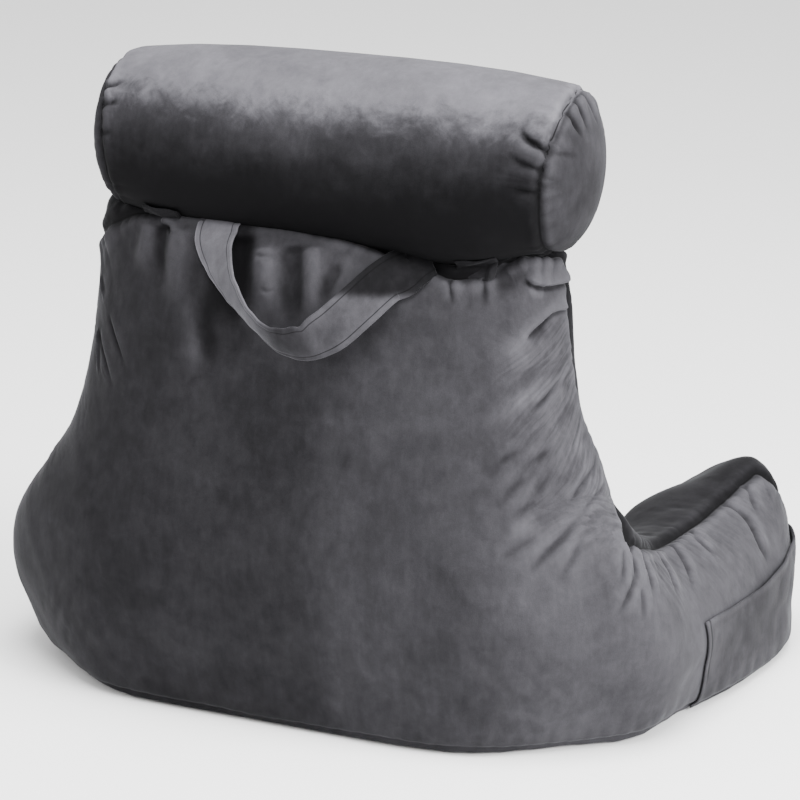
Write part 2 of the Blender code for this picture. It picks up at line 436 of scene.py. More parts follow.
@dataclass(frozen=True)
class Pucker:
    """How a seam's thread gathers the cloth beside it.

    Attributes:
        spacing: The usual distance between two puckers.
        height: How high they stand.
        reach: How far they run from the seam.
        lean: How far they lean along the seam, for each unit away from it.
        seed: Picks one uneven line of many.
        right: How strong they are on the seam's right, as a share.
    """

    spacing: float = 0.017
    height: float = 0.0016
    reach: float = 0.022
    lean: float = 0.35
    seed: float = 1.0
    right: float = 1.0

    def heights(self, along: np.ndarray, aside: np.ndarray, strength: np.ndarray) -> np.ndarray:
        """How far the puckers move the cloth.

        Args:
            along: Distances along the seam.
            aside: Signed distances from it.
            strength: How strong the puckers are at each point.

        Returns:
            One distance for each point.
        """
        away = np.abs(aside)
        side = np.where(aside > 0, 1.0, -1.0)
        shifted = along + self.lean * away * wander(along, 0.21, self.seed + side)
        phase = math.pi * shifted / self.spacing + 1.9 * wander(along, 0.13, self.seed + 3 * side)
        ridge = np.sqrt(np.sin(phase) ** 2 + 0.02) - 0.62
        uneven = 0.35 + 0.65 * smoothstep(-0.5, 0.9, wander(along, 0.17, self.seed + 7 * side))
        length = self.reach * (0.6 + 0.7 * uneven)
        rise = smoothstep(0.0, 0.004, away)
        both = self.height * strength * uneven * ridge * rise * np.exp(-((away / length) ** 1.4))
        return both * np.where(aside < 0, self.right, 1.0)


@dataclass(frozen=True)
class Seam:
    """A sewn seam: the line it follows, the groove it draws and the puckers beside it.

    Attributes:
        stations: Places near the surface, each followed by how strongly the seam puckers there.
        depth: How deep the groove is.
        width: How wide it is.
        pucker: Its puckers.
        reach: How far from it the cloth feels it.
    """

    stations: tuple[tuple[float, float, float, float], ...]
    depth: float = 0.0032
    width: float = 0.0048
    pucker: Pucker = Pucker()
    reach: float = 0.07

    def add_to(self, skin: Skin, amounts: np.ndarray) -> Near:
        """Adds the seam to the distances by which a skin's points will move.

        Args:
            skin: The skin.
            amounts: The distances, which it changes.

        Returns:
            The points near the seam.
        """
        trace = Trace(self.stations, skin)
        near = trace.near(skin, self.reach)
        across = np.abs(near.aside) / self.width
        groove = 0.35 * bell(across - 2.2, 1.1) - bell(across)
        puckers = self.pucker.heights(near.along, near.aside, trace.extra_at(near, 0))
        amounts[near.index] += self.depth * groove + puckers
        return near


@dataclass(frozen=True)
class DragLines:
    """Fine slanting lines, where the filling drags the outer panel away from its side seams.

    Attributes:
        spacing: The usual distance between two lines.
        height: How high the cloth stands between them.
        reach: How far they run from the seam.
        slope: How far they slant along the seam, for each unit away from it.
        arm_share: How strong they are on the arms, as a share.
    """

    spacing: float = 0.015
    height: float = 0.0013
    reach: float = 0.085
    slope: float = 0.55
    arm_share: float = 0.35

    def add_to(self, skin: Skin, near: Near, distance: np.ndarray, amounts: np.ndarray) -> None:
        """Adds the lines to the distances by which a skin's points move, and keeps where they run.

        Args:
            skin: The skin.
            near: The points near the seam.
            distance: Every point's signed distance from the seam.
            amounts: The distances, which it changes.
        """
        x, y, z = skin.points[near.index].T
        away = np.maximum(distance[near.index], 0.0)
        shifted = near.along - np.sign(x) * self.slope * away
        phase = shifted / self.spacing + 0.8 * wander(shifted, 0.09, 2.3)
        phase += 0.35 * wander(away, 0.07, 1.1)
        ridge = np.sqrt(np.sin(math.pi * phase) ** 2 + 0.015) - 0.62
        patchy = wander(shifted, 0.05, 5.1) + 0.7 * wander(away + 0.3 * shifted, 0.06, 0.9)
        beside = smoothstep(0.17, 0.22, np.abs(x))
        beside *= smoothstep(0.44, 0.38, z) * smoothstep(0.03, 0.09, z)
        at_corner = smoothstep(0.09, 0.13, y) * smoothstep(0.25, 0.18, z)
        strength = beside * (1 - at_corner) * smoothstep(0.002, 0.018, away)
        strength *= bell(away, self.reach)
        strength *= self.arm_share + (1 - self.arm_share) * smoothstep(0.05, 0.10, y)
        amounts[near.index] += self.height * ridge * smoothstep(-0.3, 0.9, patchy) * strength
        stored = {"drag": strength, "drag_across": shifted * 1000, "drag_along": away * 1000}
        for name, values in stored.items():
            kept = np.zeros(len(skin.points))
            kept[near.index] = values
            skin.store(name, kept)


@dataclass(frozen=True)
class Swell:
    """A soft bulge, or a hollow where its move points inwards.

    Attributes:
        centre: Its middle.
        reach: How far it spreads along each axis.
        move: How far its middle moves.
    """

    centre: tuple[float, float, float]
    reach: tuple[float, float, float]
    move: tuple[float, float, float]

    def add_to(self, skin: Skin) -> None:
        """Moves a skin's points, without writing them."""
        away = (((skin.points - self.centre) / self.reach) ** 2).sum(axis=1)
        skin.points += np.exp(-away)[:, None] * np.array(self.move)


@dataclass(frozen=True)
class Filling:
    """How a cushion fills out between its seams.

    Attributes:
        voxel: The size of the cloth's facets while it fills.
        pressure: The filling's pressure.
        most_travel: The furthest that a point may move.
        frames: How long it fills for, in frames.
        seam_hold: How near a seam a point is held.
        quality: How many steps each frame is worked out in.
        mass: The cloth's mass.
        stretch: How stiff it is against stretching and squeezing.
        shear: How stiff it is against shearing.
        bending: How stiff it is against bending.
    """

    voxel: float = 0.006
    pressure: float = 10.0
    most_travel: float = 0.009
    frames: int = 14
    seam_hold: float = 0.004
    quality: int = 4
    mass: float = 0.3
    stretch: float = 12.0
    shear: float = 4.0
    bending: float = 0.4

    def even_out(self, piece: bpy.types.Object) -> None:
        """Gives the piece evenly sized facets.

        Args:
            piece: The piece.
        """
        even = piece.modifiers.new("even facets", "REMESH")
        even.mode = "VOXEL"
        even.voxel_size = self.voxel
        even.adaptivity = 0.0
        calm = piece.modifiers.new("calm", "SMOOTH")
        calm.factor = 0.5
        calm.iterations = 4
        apply_modifiers(piece)

    def fill(
        self, piece: bpy.types.Object, seams: Iterable[Seam], held_below: float = -1.0
    ) -> None:
        """Fills the piece, with its seams and its base held.

        Args:
            piece: The piece, already evened out.
            seams: The seams that hold.
            held_below: The height under which the cloth is held.
        """
        skin = Skin(piece)
        start = skin.points.copy()
        held = start[:, 2] < held_below
        for seam in seams:
            held[Trace(seam.stations, skin).near(skin, self.seam_hold).index] = True
        group = piece.vertex_groups.new(name="sewn")
        group.add([int(i) for i in np.nonzero(held)[0]], 1.0, "REPLACE")
        cloth = piece.modifiers.new("filling", "CLOTH")
        settings = cloth.settings
        settings.quality = self.quality
        settings.mass = self.mass
        settings.tension_stiffness = self.stretch
        settings.compression_stiffness = self.stretch
        settings.shear_stiffness = self.shear
        settings.bending_stiffness = self.bending
        settings.use_pressure = True
        settings.uniform_pressure_force = self.pressure
        settings.effector_weights.gravity = 0.0
        settings.vertex_group_mass = group.name
        cloth.collision_settings.use_collision = False
        cloth.collision_settings.use_self_collision = False
        cloth.point_cache.frame_start = 1
        cloth.point_cache.frame_end = self.frames
        scene = bpy.context.scene
        for step in range(1, self.frames + 1):
            scene.frame_set(step)
        select_only(piece)
        bpy.ops.object.modifier_apply(modifier=cloth.name)
        scene.frame_set(1)
        piece.vertex_groups.clear()
        skin.read()
        travel = skin.points - start
        length = np.maximum(np.linalg.norm(travel, axis=1), 1e-9)
        capped = self.most_travel * np.tanh(length / self.most_travel)
        skin.points = start + travel * (capped / length)[:, None]
        skin.write()


def refine(piece: bpy.types.Object) -> None:
    """Adds one subdivision to a piece, after the modifiers that it has.

    Args:
        piece: The piece.
    """
    finer = piece.modifiers.new("finer", "SUBSURF")
    finer.levels = 1
    finer.render_levels = 1
    apply_modifiers(piece)


def refine_near(piece: bpy.types.Object, lines: Iterable[tuple[Sequence, float]]) -> None:
    """Adds finer facets along some lines.

    Args:
        piece: The piece.
        lines: The stations of each line, and how far from it the facets are finer.
    """
    skin = Skin(piece)
    marked = np.zeros(len(skin.points), bool)
    for stations, reach in lines:
        marked[Trace(stations, skin).near(skin, reach).index] = True
    mesh = piece.data
    select_only(piece)
    bpy.ops.object.mode_set(mode="EDIT")
    bpy.ops.mesh.select_mode(type="VERT")
    bpy.ops.mesh.select_all(action="DESELECT")
    bpy.ops.object.mode_set(mode="OBJECT")
    mesh.vertices.foreach_set("select", marked)
    bpy.ops.object.mode_set(mode="EDIT")
    bpy.ops.mesh.select_mode(type="FACE")
    bpy.ops.mesh.subdivide(number_cuts=1, smoothness=0.0)
    bpy.ops.mesh.select_mode(type="VERT")
    bpy.ops.object.mode_set(mode="OBJECT")


def shade_smooth(piece: bpy.types.Object) -> None:
    """Shades every face of a piece smoothly."""
    select_only(piece)
    bpy.ops.object.shade_smooth()


# ------------------------------------------------------------------------------------------------
# Shader maths


class Wire:
    """A shader socket with arithmetic."""

    def __init__(self, bench: "NodeBench", socket: bpy.types.NodeSocket) -> None:
        """Wraps an output socket of one of the bench's nodes."""
        self.bench = bench
        self.socket = socket

    def _maths(self, operation: str, *values: "Wire | float") -> "Wire":
        """The result of one Math node."""
        return self.bench.node("ShaderNodeMath", {"operation": operation}, dict(enumerate(values)))

    def __add__(self, other: "Wire | float") -> "Wire":
        """The sum."""
        return self._maths("ADD", self, other)

    def __radd__(self, other: float) -> "Wire":
        """The sum."""
        return self._maths("ADD", other, self)

    def __sub__(self, other: "Wire | float") -> "Wire":
        """The difference."""
        return self._maths("SUBTRACT", self, other)

    def __rsub__(self, other: float) -> "Wire":
        """The difference."""
        return self._maths("SUBTRACT", other, self)

    def __mul__(self, other: "Wire | float") -> "Wire":
        """The product."""
        return self._maths("MULTIPLY", self, other)

    def __rmul__(self, other: float) -> "Wire":
        """The product."""
        return self._maths("MULTIPLY", other, self)

    def __truediv__(self, other: "Wire | float") -> "Wire":
        """The quotient."""
        return self._maths("DIVIDE", self, other)

    def __abs__(self) -> "Wire":
        """The size without its sign."""
        return self._maths("ABSOLUTE", self)

    def between(self, low: float, high: float) -> "Wire":
        """Rises smoothly from 0 at low to 1 at high.

        Args:
            low: Where the rise starts.
            high: Where it ends.

        Returns:
            A number from 0 to 1.
        """
        if low < high:
            return self.bench.node(
                "ShaderNodeMapRange",
                {"interpolation_type": "SMOOTHSTEP"},
                {"Value": self, "From Min": low, "From Max": high, "To Min": 0.0, "To Max": 1.0},
            )
        return 1 - self.between(high, low)


class NodeBench:
    """Makes the nodes of one material."""

    def __init__(self, name: str) -> None:
        """Starts an empty material.

        Args:
            name: The material's name.
        """
        self.material = bpy.data.materials.new(name)
        self.material.use_nodes = True
        self.tree = self.material.node_tree
        self.tree.nodes.clear()

    def node(
        self,
        kind: str,
        settings: dict[str, object] | None = None,
        inputs: dict[str | int, object] | None = None,
        output: str | int = 0,
    ) -> Wire:
        """Adds a node.

        Args:
            kind: The node's type.
            settings: Its settings, which are set first.
            inputs: The value or link of each input socket.
            output: Which output is returned.

        Returns:
            The output.
        """
        made = self.tree.nodes.new(kind)
        for key, value in (settings or {}).items():
            setattr(made, key, value)
        for key, value in (inputs or {}).items():
            socket = made.inputs[key]
            if isinstance(value, Wire):
                self.tree.links.new(value.socket, socket)
            else:
                socket.default_value = value
        return Wire(self, made.outputs[output])

    def surface(self, shader: Wire) -> None:
        """Joins a shader to the material's output."""
        made = self.tree.nodes.new("ShaderNodeOutputMaterial")
        self.tree.links.new(shader.socket, made.inputs["Surface"])

    def places(self) -> Wire:
        """The piece's own coordinates."""
        return self.node("ShaderNodeTexCoord", output="Object")

    def unwrapped(self) -> tuple[Wire, Wire]:
        """A sheet's shares across and along, from 0 to 1."""
        layout = self.node("ShaderNodeTexCoord", output="UV")
        return self.axis(layout, "X"), self.axis(layout, "Y")

    def attribute(self, name: str) -> Wire:
        """A number that the mesh keeps for each point, by its name."""
        return self.node("ShaderNodeAttribute", {"attribute_name": name}, output="Fac")

    def axis(self, places: Wire, letter: str) -> Wire:
        """One coordinate of a place: its X, Y or Z."""
        return self.node("ShaderNodeSeparateXYZ", None, {0: places}, output=letter)

    def noise(
        self, places: Wire, size: float, detail: float, roughness: float = 0.5, warp: float = 0.0
    ) -> Wire:
        """Noise from 0 to 1 whose features are about a given size across.

        Args:
            places: Where it is read.
            size: The size of its larger features.
            detail: How many finer layers it has.
            roughness: How strong the finer layers are.
            warp: How far it is distorted.

        Returns:
            The noise.
        """
        return self.node(
            "ShaderNodeTexNoise",
            {"noise_dimensions": "3D"},
            {
                "Vector": places,
                "Scale": 1 / size,
                "Detail": detail,
                "Roughness": roughness,
                "Distortion": warp,
            },
            output="Fac",
        )

    def stretched(self, places: Wire, scale: tuple[float, float, float]) -> Wire:
        """Places scaled along each axis."""
        return self.node("ShaderNodeVectorMath", {"operation": "MULTIPLY"}, {0: places, 1: scale})

    def blend(self, share: Wire, first: "Wire | tuple", second: "Wire | tuple") -> Wire:
        """A colour between two.

        Args:
            share: How much of the second.
            first: The first colour.
            second: The second colour.

        Returns:
            The colour.
        """
        first, second = (end if isinstance(end, Wire) else (*end, 1.0) for end in (first, second))
        inputs = {0: share, 6: first, 7: second}
        return self.node("ShaderNodeMix", {"data_type": "RGBA"}, inputs, output=2)


@dataclass(frozen=True)
class VelvetLook:
    """The look of one cut of the velvet.

    Attributes:
        name: The material's name.
        deep: The colour at the dark end, where the pile lies away and where shade is painted.
        pale: The colour at the pale end, where the pile lies towards the light and where light is
            painted.
        sheen: How strongly the pile's tips catch the light.
        sheen_tint: The tips' colour.
        mottle: The size of the patches where hands have rubbed the pile.
        seed_shift: Moves the patches, so that two cuts don't match.
    """

    name: str
    deep: tuple[float, float, float] = (0.0022, 0.0021, 0.0025)
    pale: tuple[float, float, float] = (0.154, 0.150, 0.168)
    sheen: float = 0.10
    sheen_tint: tuple[float, float, float] = (0.86, 0.87, 0.92)
    mottle: float = 0.11
    seed_shift: tuple[float, float, float] = (0.0, 0.0, 0.0)


class Velvet:
    """Builds a velvet material, whose patches come from how the pile has been rubbed, and whose
    paleness carries the pile's lie together with painted light and shade.
    """

    PILE_SIZE = 0.0011
    NAP_SIZE = 0.006
    NAP_STRETCH = (1.0, 1.0, 0.3)
    RUB_SIZE = 0.018
    BUMP_DEPTH = 0.0012
    SEAM_SHADE = 0.35

    def __init__(self, look: VelvetLook) -> None:
        """Starts the material.

        Args:
            look: The look of this cut.
        """
        self.look = look
        self.bench = NodeBench(look.name)
        self.places = self.bench.places()
        self.shifted = self.bench.node(
            "ShaderNodeVectorMath", {"operation": "ADD"}, {0: self.places, 1: look.seed_shift}
        )

    def painted_fold_shading(self) -> Wire:
        """Painted highlight on the folds' crests and painted shade in their valleys, from the fold
        heights.
        """
        return self.bench.attribute("ridge").between(-3.0, 3.0) - 0.5

    def patches(self) -> Wire:
        """Cloudy patches from 0 to 1."""
        return self.bench.noise(self.shifted, self.look.mottle, 5.0, 0.62, 0.3).between(0.30, 0.72)

    def finish(self, paleness: Wire, line: Wire | None = None) -> bpy.types.Material:
        """Joins the shader.

        Args:
            paleness: How pale the cloth is, from 0 to 1: partly how far the pile lies towards the
                light, partly painted light and shade.
            line: Where the cloth is drawn down into a seam, from 0 to 1, or None.

        Returns:
            The material.
        """
        bench, look = self.bench, self.look
        pile = bench.noise(self.places, self.PILE_SIZE, 2.0, 0.6)
        rubbed = bench.noise(self.shifted, self.RUB_SIZE, 4.0, 0.6, 0.4)
        nap = bench.noise(bench.stretched(self.shifted, self.NAP_STRETCH), self.NAP_SIZE, 3.0, 0.6)
        shade = paleness + (rubbed - 0.5) * 0.18 + (nap - 0.5) * 0.10 + (pile - 0.5) * 0.08
        colour = bench.blend(shade * shade, look.deep, look.pale)
        if line is not None:
            colour = bench.blend(line, colour, tuple(self.SEAM_SHADE * part for part in look.deep))
        height = pile * 0.35 + rubbed * 0.5
        bump = bench.node(
            "ShaderNodeBump",
            None,
            {"Strength": 0.35, "Distance": self.BUMP_DEPTH, "Height": height},
            output="Normal",
        )
        shader = bench.node(
            "ShaderNodeBsdfPrincipled",
            None,
            {
                "Base Color": colour,
                "Roughness": 0.92 - paleness * 0.14,
                "Specular IOR Level": 0.08,
                "Sheen Weight": look.sheen,
                "Sheen Roughness": 0.30,
                "Sheen Tint": (*look.sheen_tint, 1.0),
                "Normal": bump,
            },
        )
        bench.surface(shader)
        return bench.material


def put_on_frame(
    piece: bpy.types.Object, material: bpy.types.Material, node: str
) -> None:
    """Gives a piece its material and lets it stand for a node of the frame.

    Args:
        piece: The piece.
        material: Its material.
        node: The node.
    """
    piece.data.materials.append(material)
    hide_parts(node)
    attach(piece, ROOT)


# ------------------------------------------------------------------------------------------------
# The backrest and its arms


def mirrored(stations: Sequence[tuple[float, ...]]) -> tuple[tuple[float, ...], ...]:
    """The same stations on the other arm, in the opposite order."""
    return tuple((-x, *rest) for x, *rest in reversed(stations))


# The seam between the panels, from the foot of the -X arm's front, over the arm, up the backrest's
# side and over its top: places in millimetres, each with how strongly the seam puckers there.
SIDE_SEAM = (
    (-338, -246, 4, 0.2),
    (-338, -244, 80, 0.2),
    (-334, -236, 135, 0.3),
    (-331, -224, 160, 0.6),
    (-323, -215, 171, 0.8),
    (-315, -208, 177, 0.8),
    (-314, -195, 177, 0.7),
    (-311, -171, 175, 0.7),
    (-307, -125, 169, 0.8),
    (-304, -77, 165, 1.0),
    (-300, -33, 164, 1.1),
    (-300, 19, 168, 1.2),
    (-308, 71, 182, 1.3),
    (-310, 103, 191, 1.3),
    (-306, 122, 200, 1.0),
    (-297, 105, 213, 0.8),
    (-283, 88, 228, 0.7),
    (-270, 86, 246, 0.6),
    (-258, 94, 280, 0.5),
    (-249, 103, 330, 0.5),
    (-244, 111, 380, 0.6),
    (-240, 117, 425, 0.8),
    (-239.5, 113, 452, 1.0),
)
TOP_SEAM = (
    (-236, 119, 480, 1.2),
    (-219, 147, 483, 1.0),
    (-205, 164, 474.5, 1.0),
    (-188, 174, 463, 1.0),
    (-168, 181, 456.5, 1.0),
    (-149, 183.5, 454.5, 1.0),
    (-128, 177.5, 459, 0.9),
    (-100, 178, 468, 0.7),
    (-60, 177, 479, 0.5),
    (0, 177, 483, 0.5),
    (60, 177, 484, 0.5),
    (110, 176.5, 485, 0.5),
    (150, 177.5, 484.5, 0.6),
    (180, 178, 482.5, 0.7),
    (205, 170, 470, 0.8),
    (230, 158, 458, 0.8),
)
BODY_SEAM = tuple(
    (*in_metres(place), strength)
    for *place, strength in SIDE_SEAM + TOP_SEAM + mirrored(SIDE_SEAM[:-1])
)

SOFT, CREASE, TUCK = FoldShape.SOFT, FoldShape.CREASE, FoldShape.TUCK
# Folds of the back, from its +X corner to the -X arm: shape, width, height, fades, then places. All
# lengths are in millimetres.
BODY_FOLDS = (
    (CREASE, 6, -2.0, (0.2, 0.6), (236, 158, 410), (229, 168, 398), (222, 176, 388)),
    (CREASE, 6, -2.2, (0.2, 0.5), (233, 172, 362), (228, 178, 340), (222, 188, 315)),
    (CREASE, 7, 1.8, (0.3, 0.5), (214, 183, 383), (202, 195, 363), (177, 212, 330)),
    (CREASE, 7, 1.4, (0.3, 0.5), (231, 174, 359), (214, 193, 336), (192, 211, 308)),
    (SOFT, 12, 2.6, (0.2, 0.5), (226, 160, 450), (214, 168, 446), (205, 172, 440)),
    (SOFT, 9, 3.6, (0.1, 0.5), (163, 186, 474), (166, 194, 456), (168, 199, 425)),
    (SOFT, 7, -4.0, (0.1, 0.6), (150, 187, 476), (146, 196, 455), (141, 203, 420)),
    (TUCK, 6, 3.6, (0.2, 0.3), (152, 186, 477), (140, 190, 474), (135, 193, 466)),
    (SOFT, 12, 3.4, (0.1, 0.5), (128, 190, 476), (124, 204, 435), (117, 212, 385)),
    (SOFT, 10, 2.6, (0.3, 0.4), (108, 205, 420), (100, 213, 375), (94, 219, 335)),
    (SOFT, 10, -2.6, (0.3, 0.5), (96, 205, 420), (84, 215, 375), (78, 221, 335)),
    (SOFT, 12, -7.0, (0.1, 0.4), (64, 192, 476), (58, 203, 440), (50, 211, 395)),
    (SOFT, 11, 4.0, (0.1, 0.5), (36, 196, 468), (28, 206, 430), (22, 212, 390)),
    (SOFT, 9, -5.6, (0.1, 0.4), (8, 193, 473), (1, 202, 440), (-4, 213, 390)),
    (SOFT, 8, 4.6, (0.1, 0.5), (-10, 193, 474), (-19, 203, 440), (-24, 210, 395)),
    (SOFT, 6, -4.0, (0.2, 0.5), (-41, 196, 462), (-35, 204, 440), (-29, 209, 415)),
    (CREASE, 7, 1.4, (0.4, 0.5), (48, 200, 461), (33, 201, 457), (18, 199, 462)),
    (CREASE, 6, 1.0, (0.4, 0.5), (34, 207, 431), (25, 208, 427), (15, 207, 432)),
    (CREASE, 6, 2.6, (0.1, 0.6), (-150, 186, 455), (-155, 192, 440), (-158, 196, 428)),
    (CREASE, 8, 2.6, (0.1, 0.6), (-182, 179, 457), (-185, 184, 441), (-185, 188, 430)),
    (SOFT, 13, -3.5, (0.1, 0.5), (-192, 172, 466), (-205, 170, 455), (-214, 168, 446)),
    (TUCK, 9, 5.6, (0.15, 0.2), (-214, 164, 457), (-224, 158, 449), (-233, 146, 446),
     (-240, 124, 445), (-241, 108, 446)),
    (SOFT, 5, 2.2, (0.3, 0.5), (-217, 163, 450), (-224, 159, 441), (-234, 148, 438)),
    (TUCK, 7, 4.2, (0.5, 0.1), (-214, 172, 392), (-222, 167, 402), (-229, 158, 411),
     (-235, 146, 420), (-241, 122, 421)),
    (SOFT, 7, -3.0, (0.4, 0.3), (-219, 170, 396), (-227, 161, 404), (-232, 153, 412)),
    (SOFT, 14, 3.2, (0.5, 0.4), (-199, 189, 374), (-217, 173, 391), (-232, 155, 409)),
    (CREASE, 8, 2.6, (0.3, 0.4), (-228, 174, 332), (-241, 155, 347), (-245, 135, 361)),
    (SOFT, 8, 2.6, (0.4, 0.4), (-190, 205, 320), (-214, 187, 338), (-236, 161, 357)),
    (CREASE, 9, 1.6, (0.5, 0.5), (-200, 208, 281), (-216, 196, 293), (-230, 184, 300)),
    (CREASE, 9, 1.7, (0.5, 0.5), (-228, 190, 282), (-240, 176, 291), (-249, 160, 300)),
    (CREASE, 11, 1.9, (0.5, 0.5), (-210, 212, 244), (-224, 199, 266), (-238, 182, 277)),
    (CREASE, 9, 1.4, (0.5, 0.5), (-237, 194, 250), (-244, 181, 266), (-250, 171, 276)),
    (CREASE, 9, 1.4, (0.5, 0.5), (-221, 209, 232), (-234, 197, 246), (-246, 184, 254)),
    (CREASE, 7, 1.8, (0.4, 0.3), (-263, 172, 240), (-267, 153, 256), (-264, 117, 272)),
    (CREASE, 7, 1.6, (0.4, 0.3), (-273, 168, 230), (-275, 141, 244), (-270, 105, 252)),
    (CREASE, 10, 2.6, (0.35, 0.35), (-240, 215, 183), (-255, 199, 204), (-267, 182, 220),
     (-277, 155, 237)),
    (CREASE, 11, 1.3, (0.5, 0.5), (-214, 225, 197), (-232, 212, 211), (-248, 198, 220)),
    (CREASE, 9, 1.6, (0.5, 0.5), (-267, 200, 176), (-276, 185, 199), (-282, 163, 224)),
    (SOFT, 7, 2.2, (0.4, 0.4), (-221, 213, 222), (-234, 203, 230), (-244, 191, 240)),
    (CREASE, 7, 2.2, (0.1, 0.6), (-308, 134, 199), (-314, 149, 183), (-315, 164, 165)),
    (CREASE, 7, 2.8, (0.2, 0.5), (-322, 138, 177), (-322, 155, 162), (-317, 172, 143)),
    (CREASE, 8, 5.0, (0.02, 0.5), (-306, 122, 201), (-318, 131, 184), (-325, 143, 168)),
    (CREASE, 8, 2.8, (0.1, 0.5), (-315, 112, 188), (-326, 117, 172), (-337, 130, 152)),
    (CREASE, 8, 2.2, (0.3, 0.5), (-328, 138, 167), (-332, 144, 152), (-334, 151, 132)),
    (CREASE, 9, 3.0, (0.1, 0.5), (-308, 62, 178), (-326, 68, 162), (-341, 84, 140)),
    (CREASE, 9, 2.6, (0.1, 0.5), (-303, 4, 165), (-327, 21, 151), (-342, 42, 130)),
    (CREASE, 10, 2.6, (0.1, 0.5), (-303, -45, 163), (-324, -35, 154), (-341, -46, 136)),
    (CREASE, 11, 3.4, (0.1, 0.4), (-308, -124, 168), (-324, -132, 164), (-337, -132, 151),
     (-349, -129, 129), (-356, -138, 104)),
    (CREASE, 10, 2.4, (0.1, 0.5), (-312, -178, 175), (-327, -164, 165), (-338, -150, 150)),
)
# Where the filling bulges or sinks, in metres: middle, reach, move.
BODY_SWELLS = (
    Swell((0.232, 0.110, 0.480), (0.030, 0.060, 0.022), (0.0055, 0.0, 0.0040)),
    Swell((0.345, 0.130, 0.170), (0.100, 0.160, 0.110), (0.0070, 0.0020, 0.0)),
    Swell((0.300, 0.200, 0.030), (0.120, 0.100, 0.060), (0.0040, 0.0060, 0.0)),
    Swell((-0.100, 0.240, 0.020), (0.160, 0.080, 0.060), (0.0, 0.0060, 0.0)),
    Swell((-0.218, -0.110, 0.142), (0.050, 0.055, 0.050), (0.0080, 0.0, 0.0095)),
    Swell((-0.244, -0.206, 0.172), (0.030, 0.036, 0.045), (0.0, 0.0, -0.0085)),
    Swell((-0.300, -0.235, 0.178), (0.026, 0.040, 0.030), (-0.0035, 0.0, 0.0045)),
    Swell((-0.345, -0.240, 0.022), (0.050, 0.060, 0.045), (0.0130, 0.0030, 0.0)),
    Swell((-0.262, 0.100, 0.272), (0.050, 0.070, 0.034), (-0.0080, 0.0, 0.0)),
    Swell((-0.278, 0.090, 0.222), (0.040, 0.050, 0.016), (0.0040, 0.0, 0.0)),
)


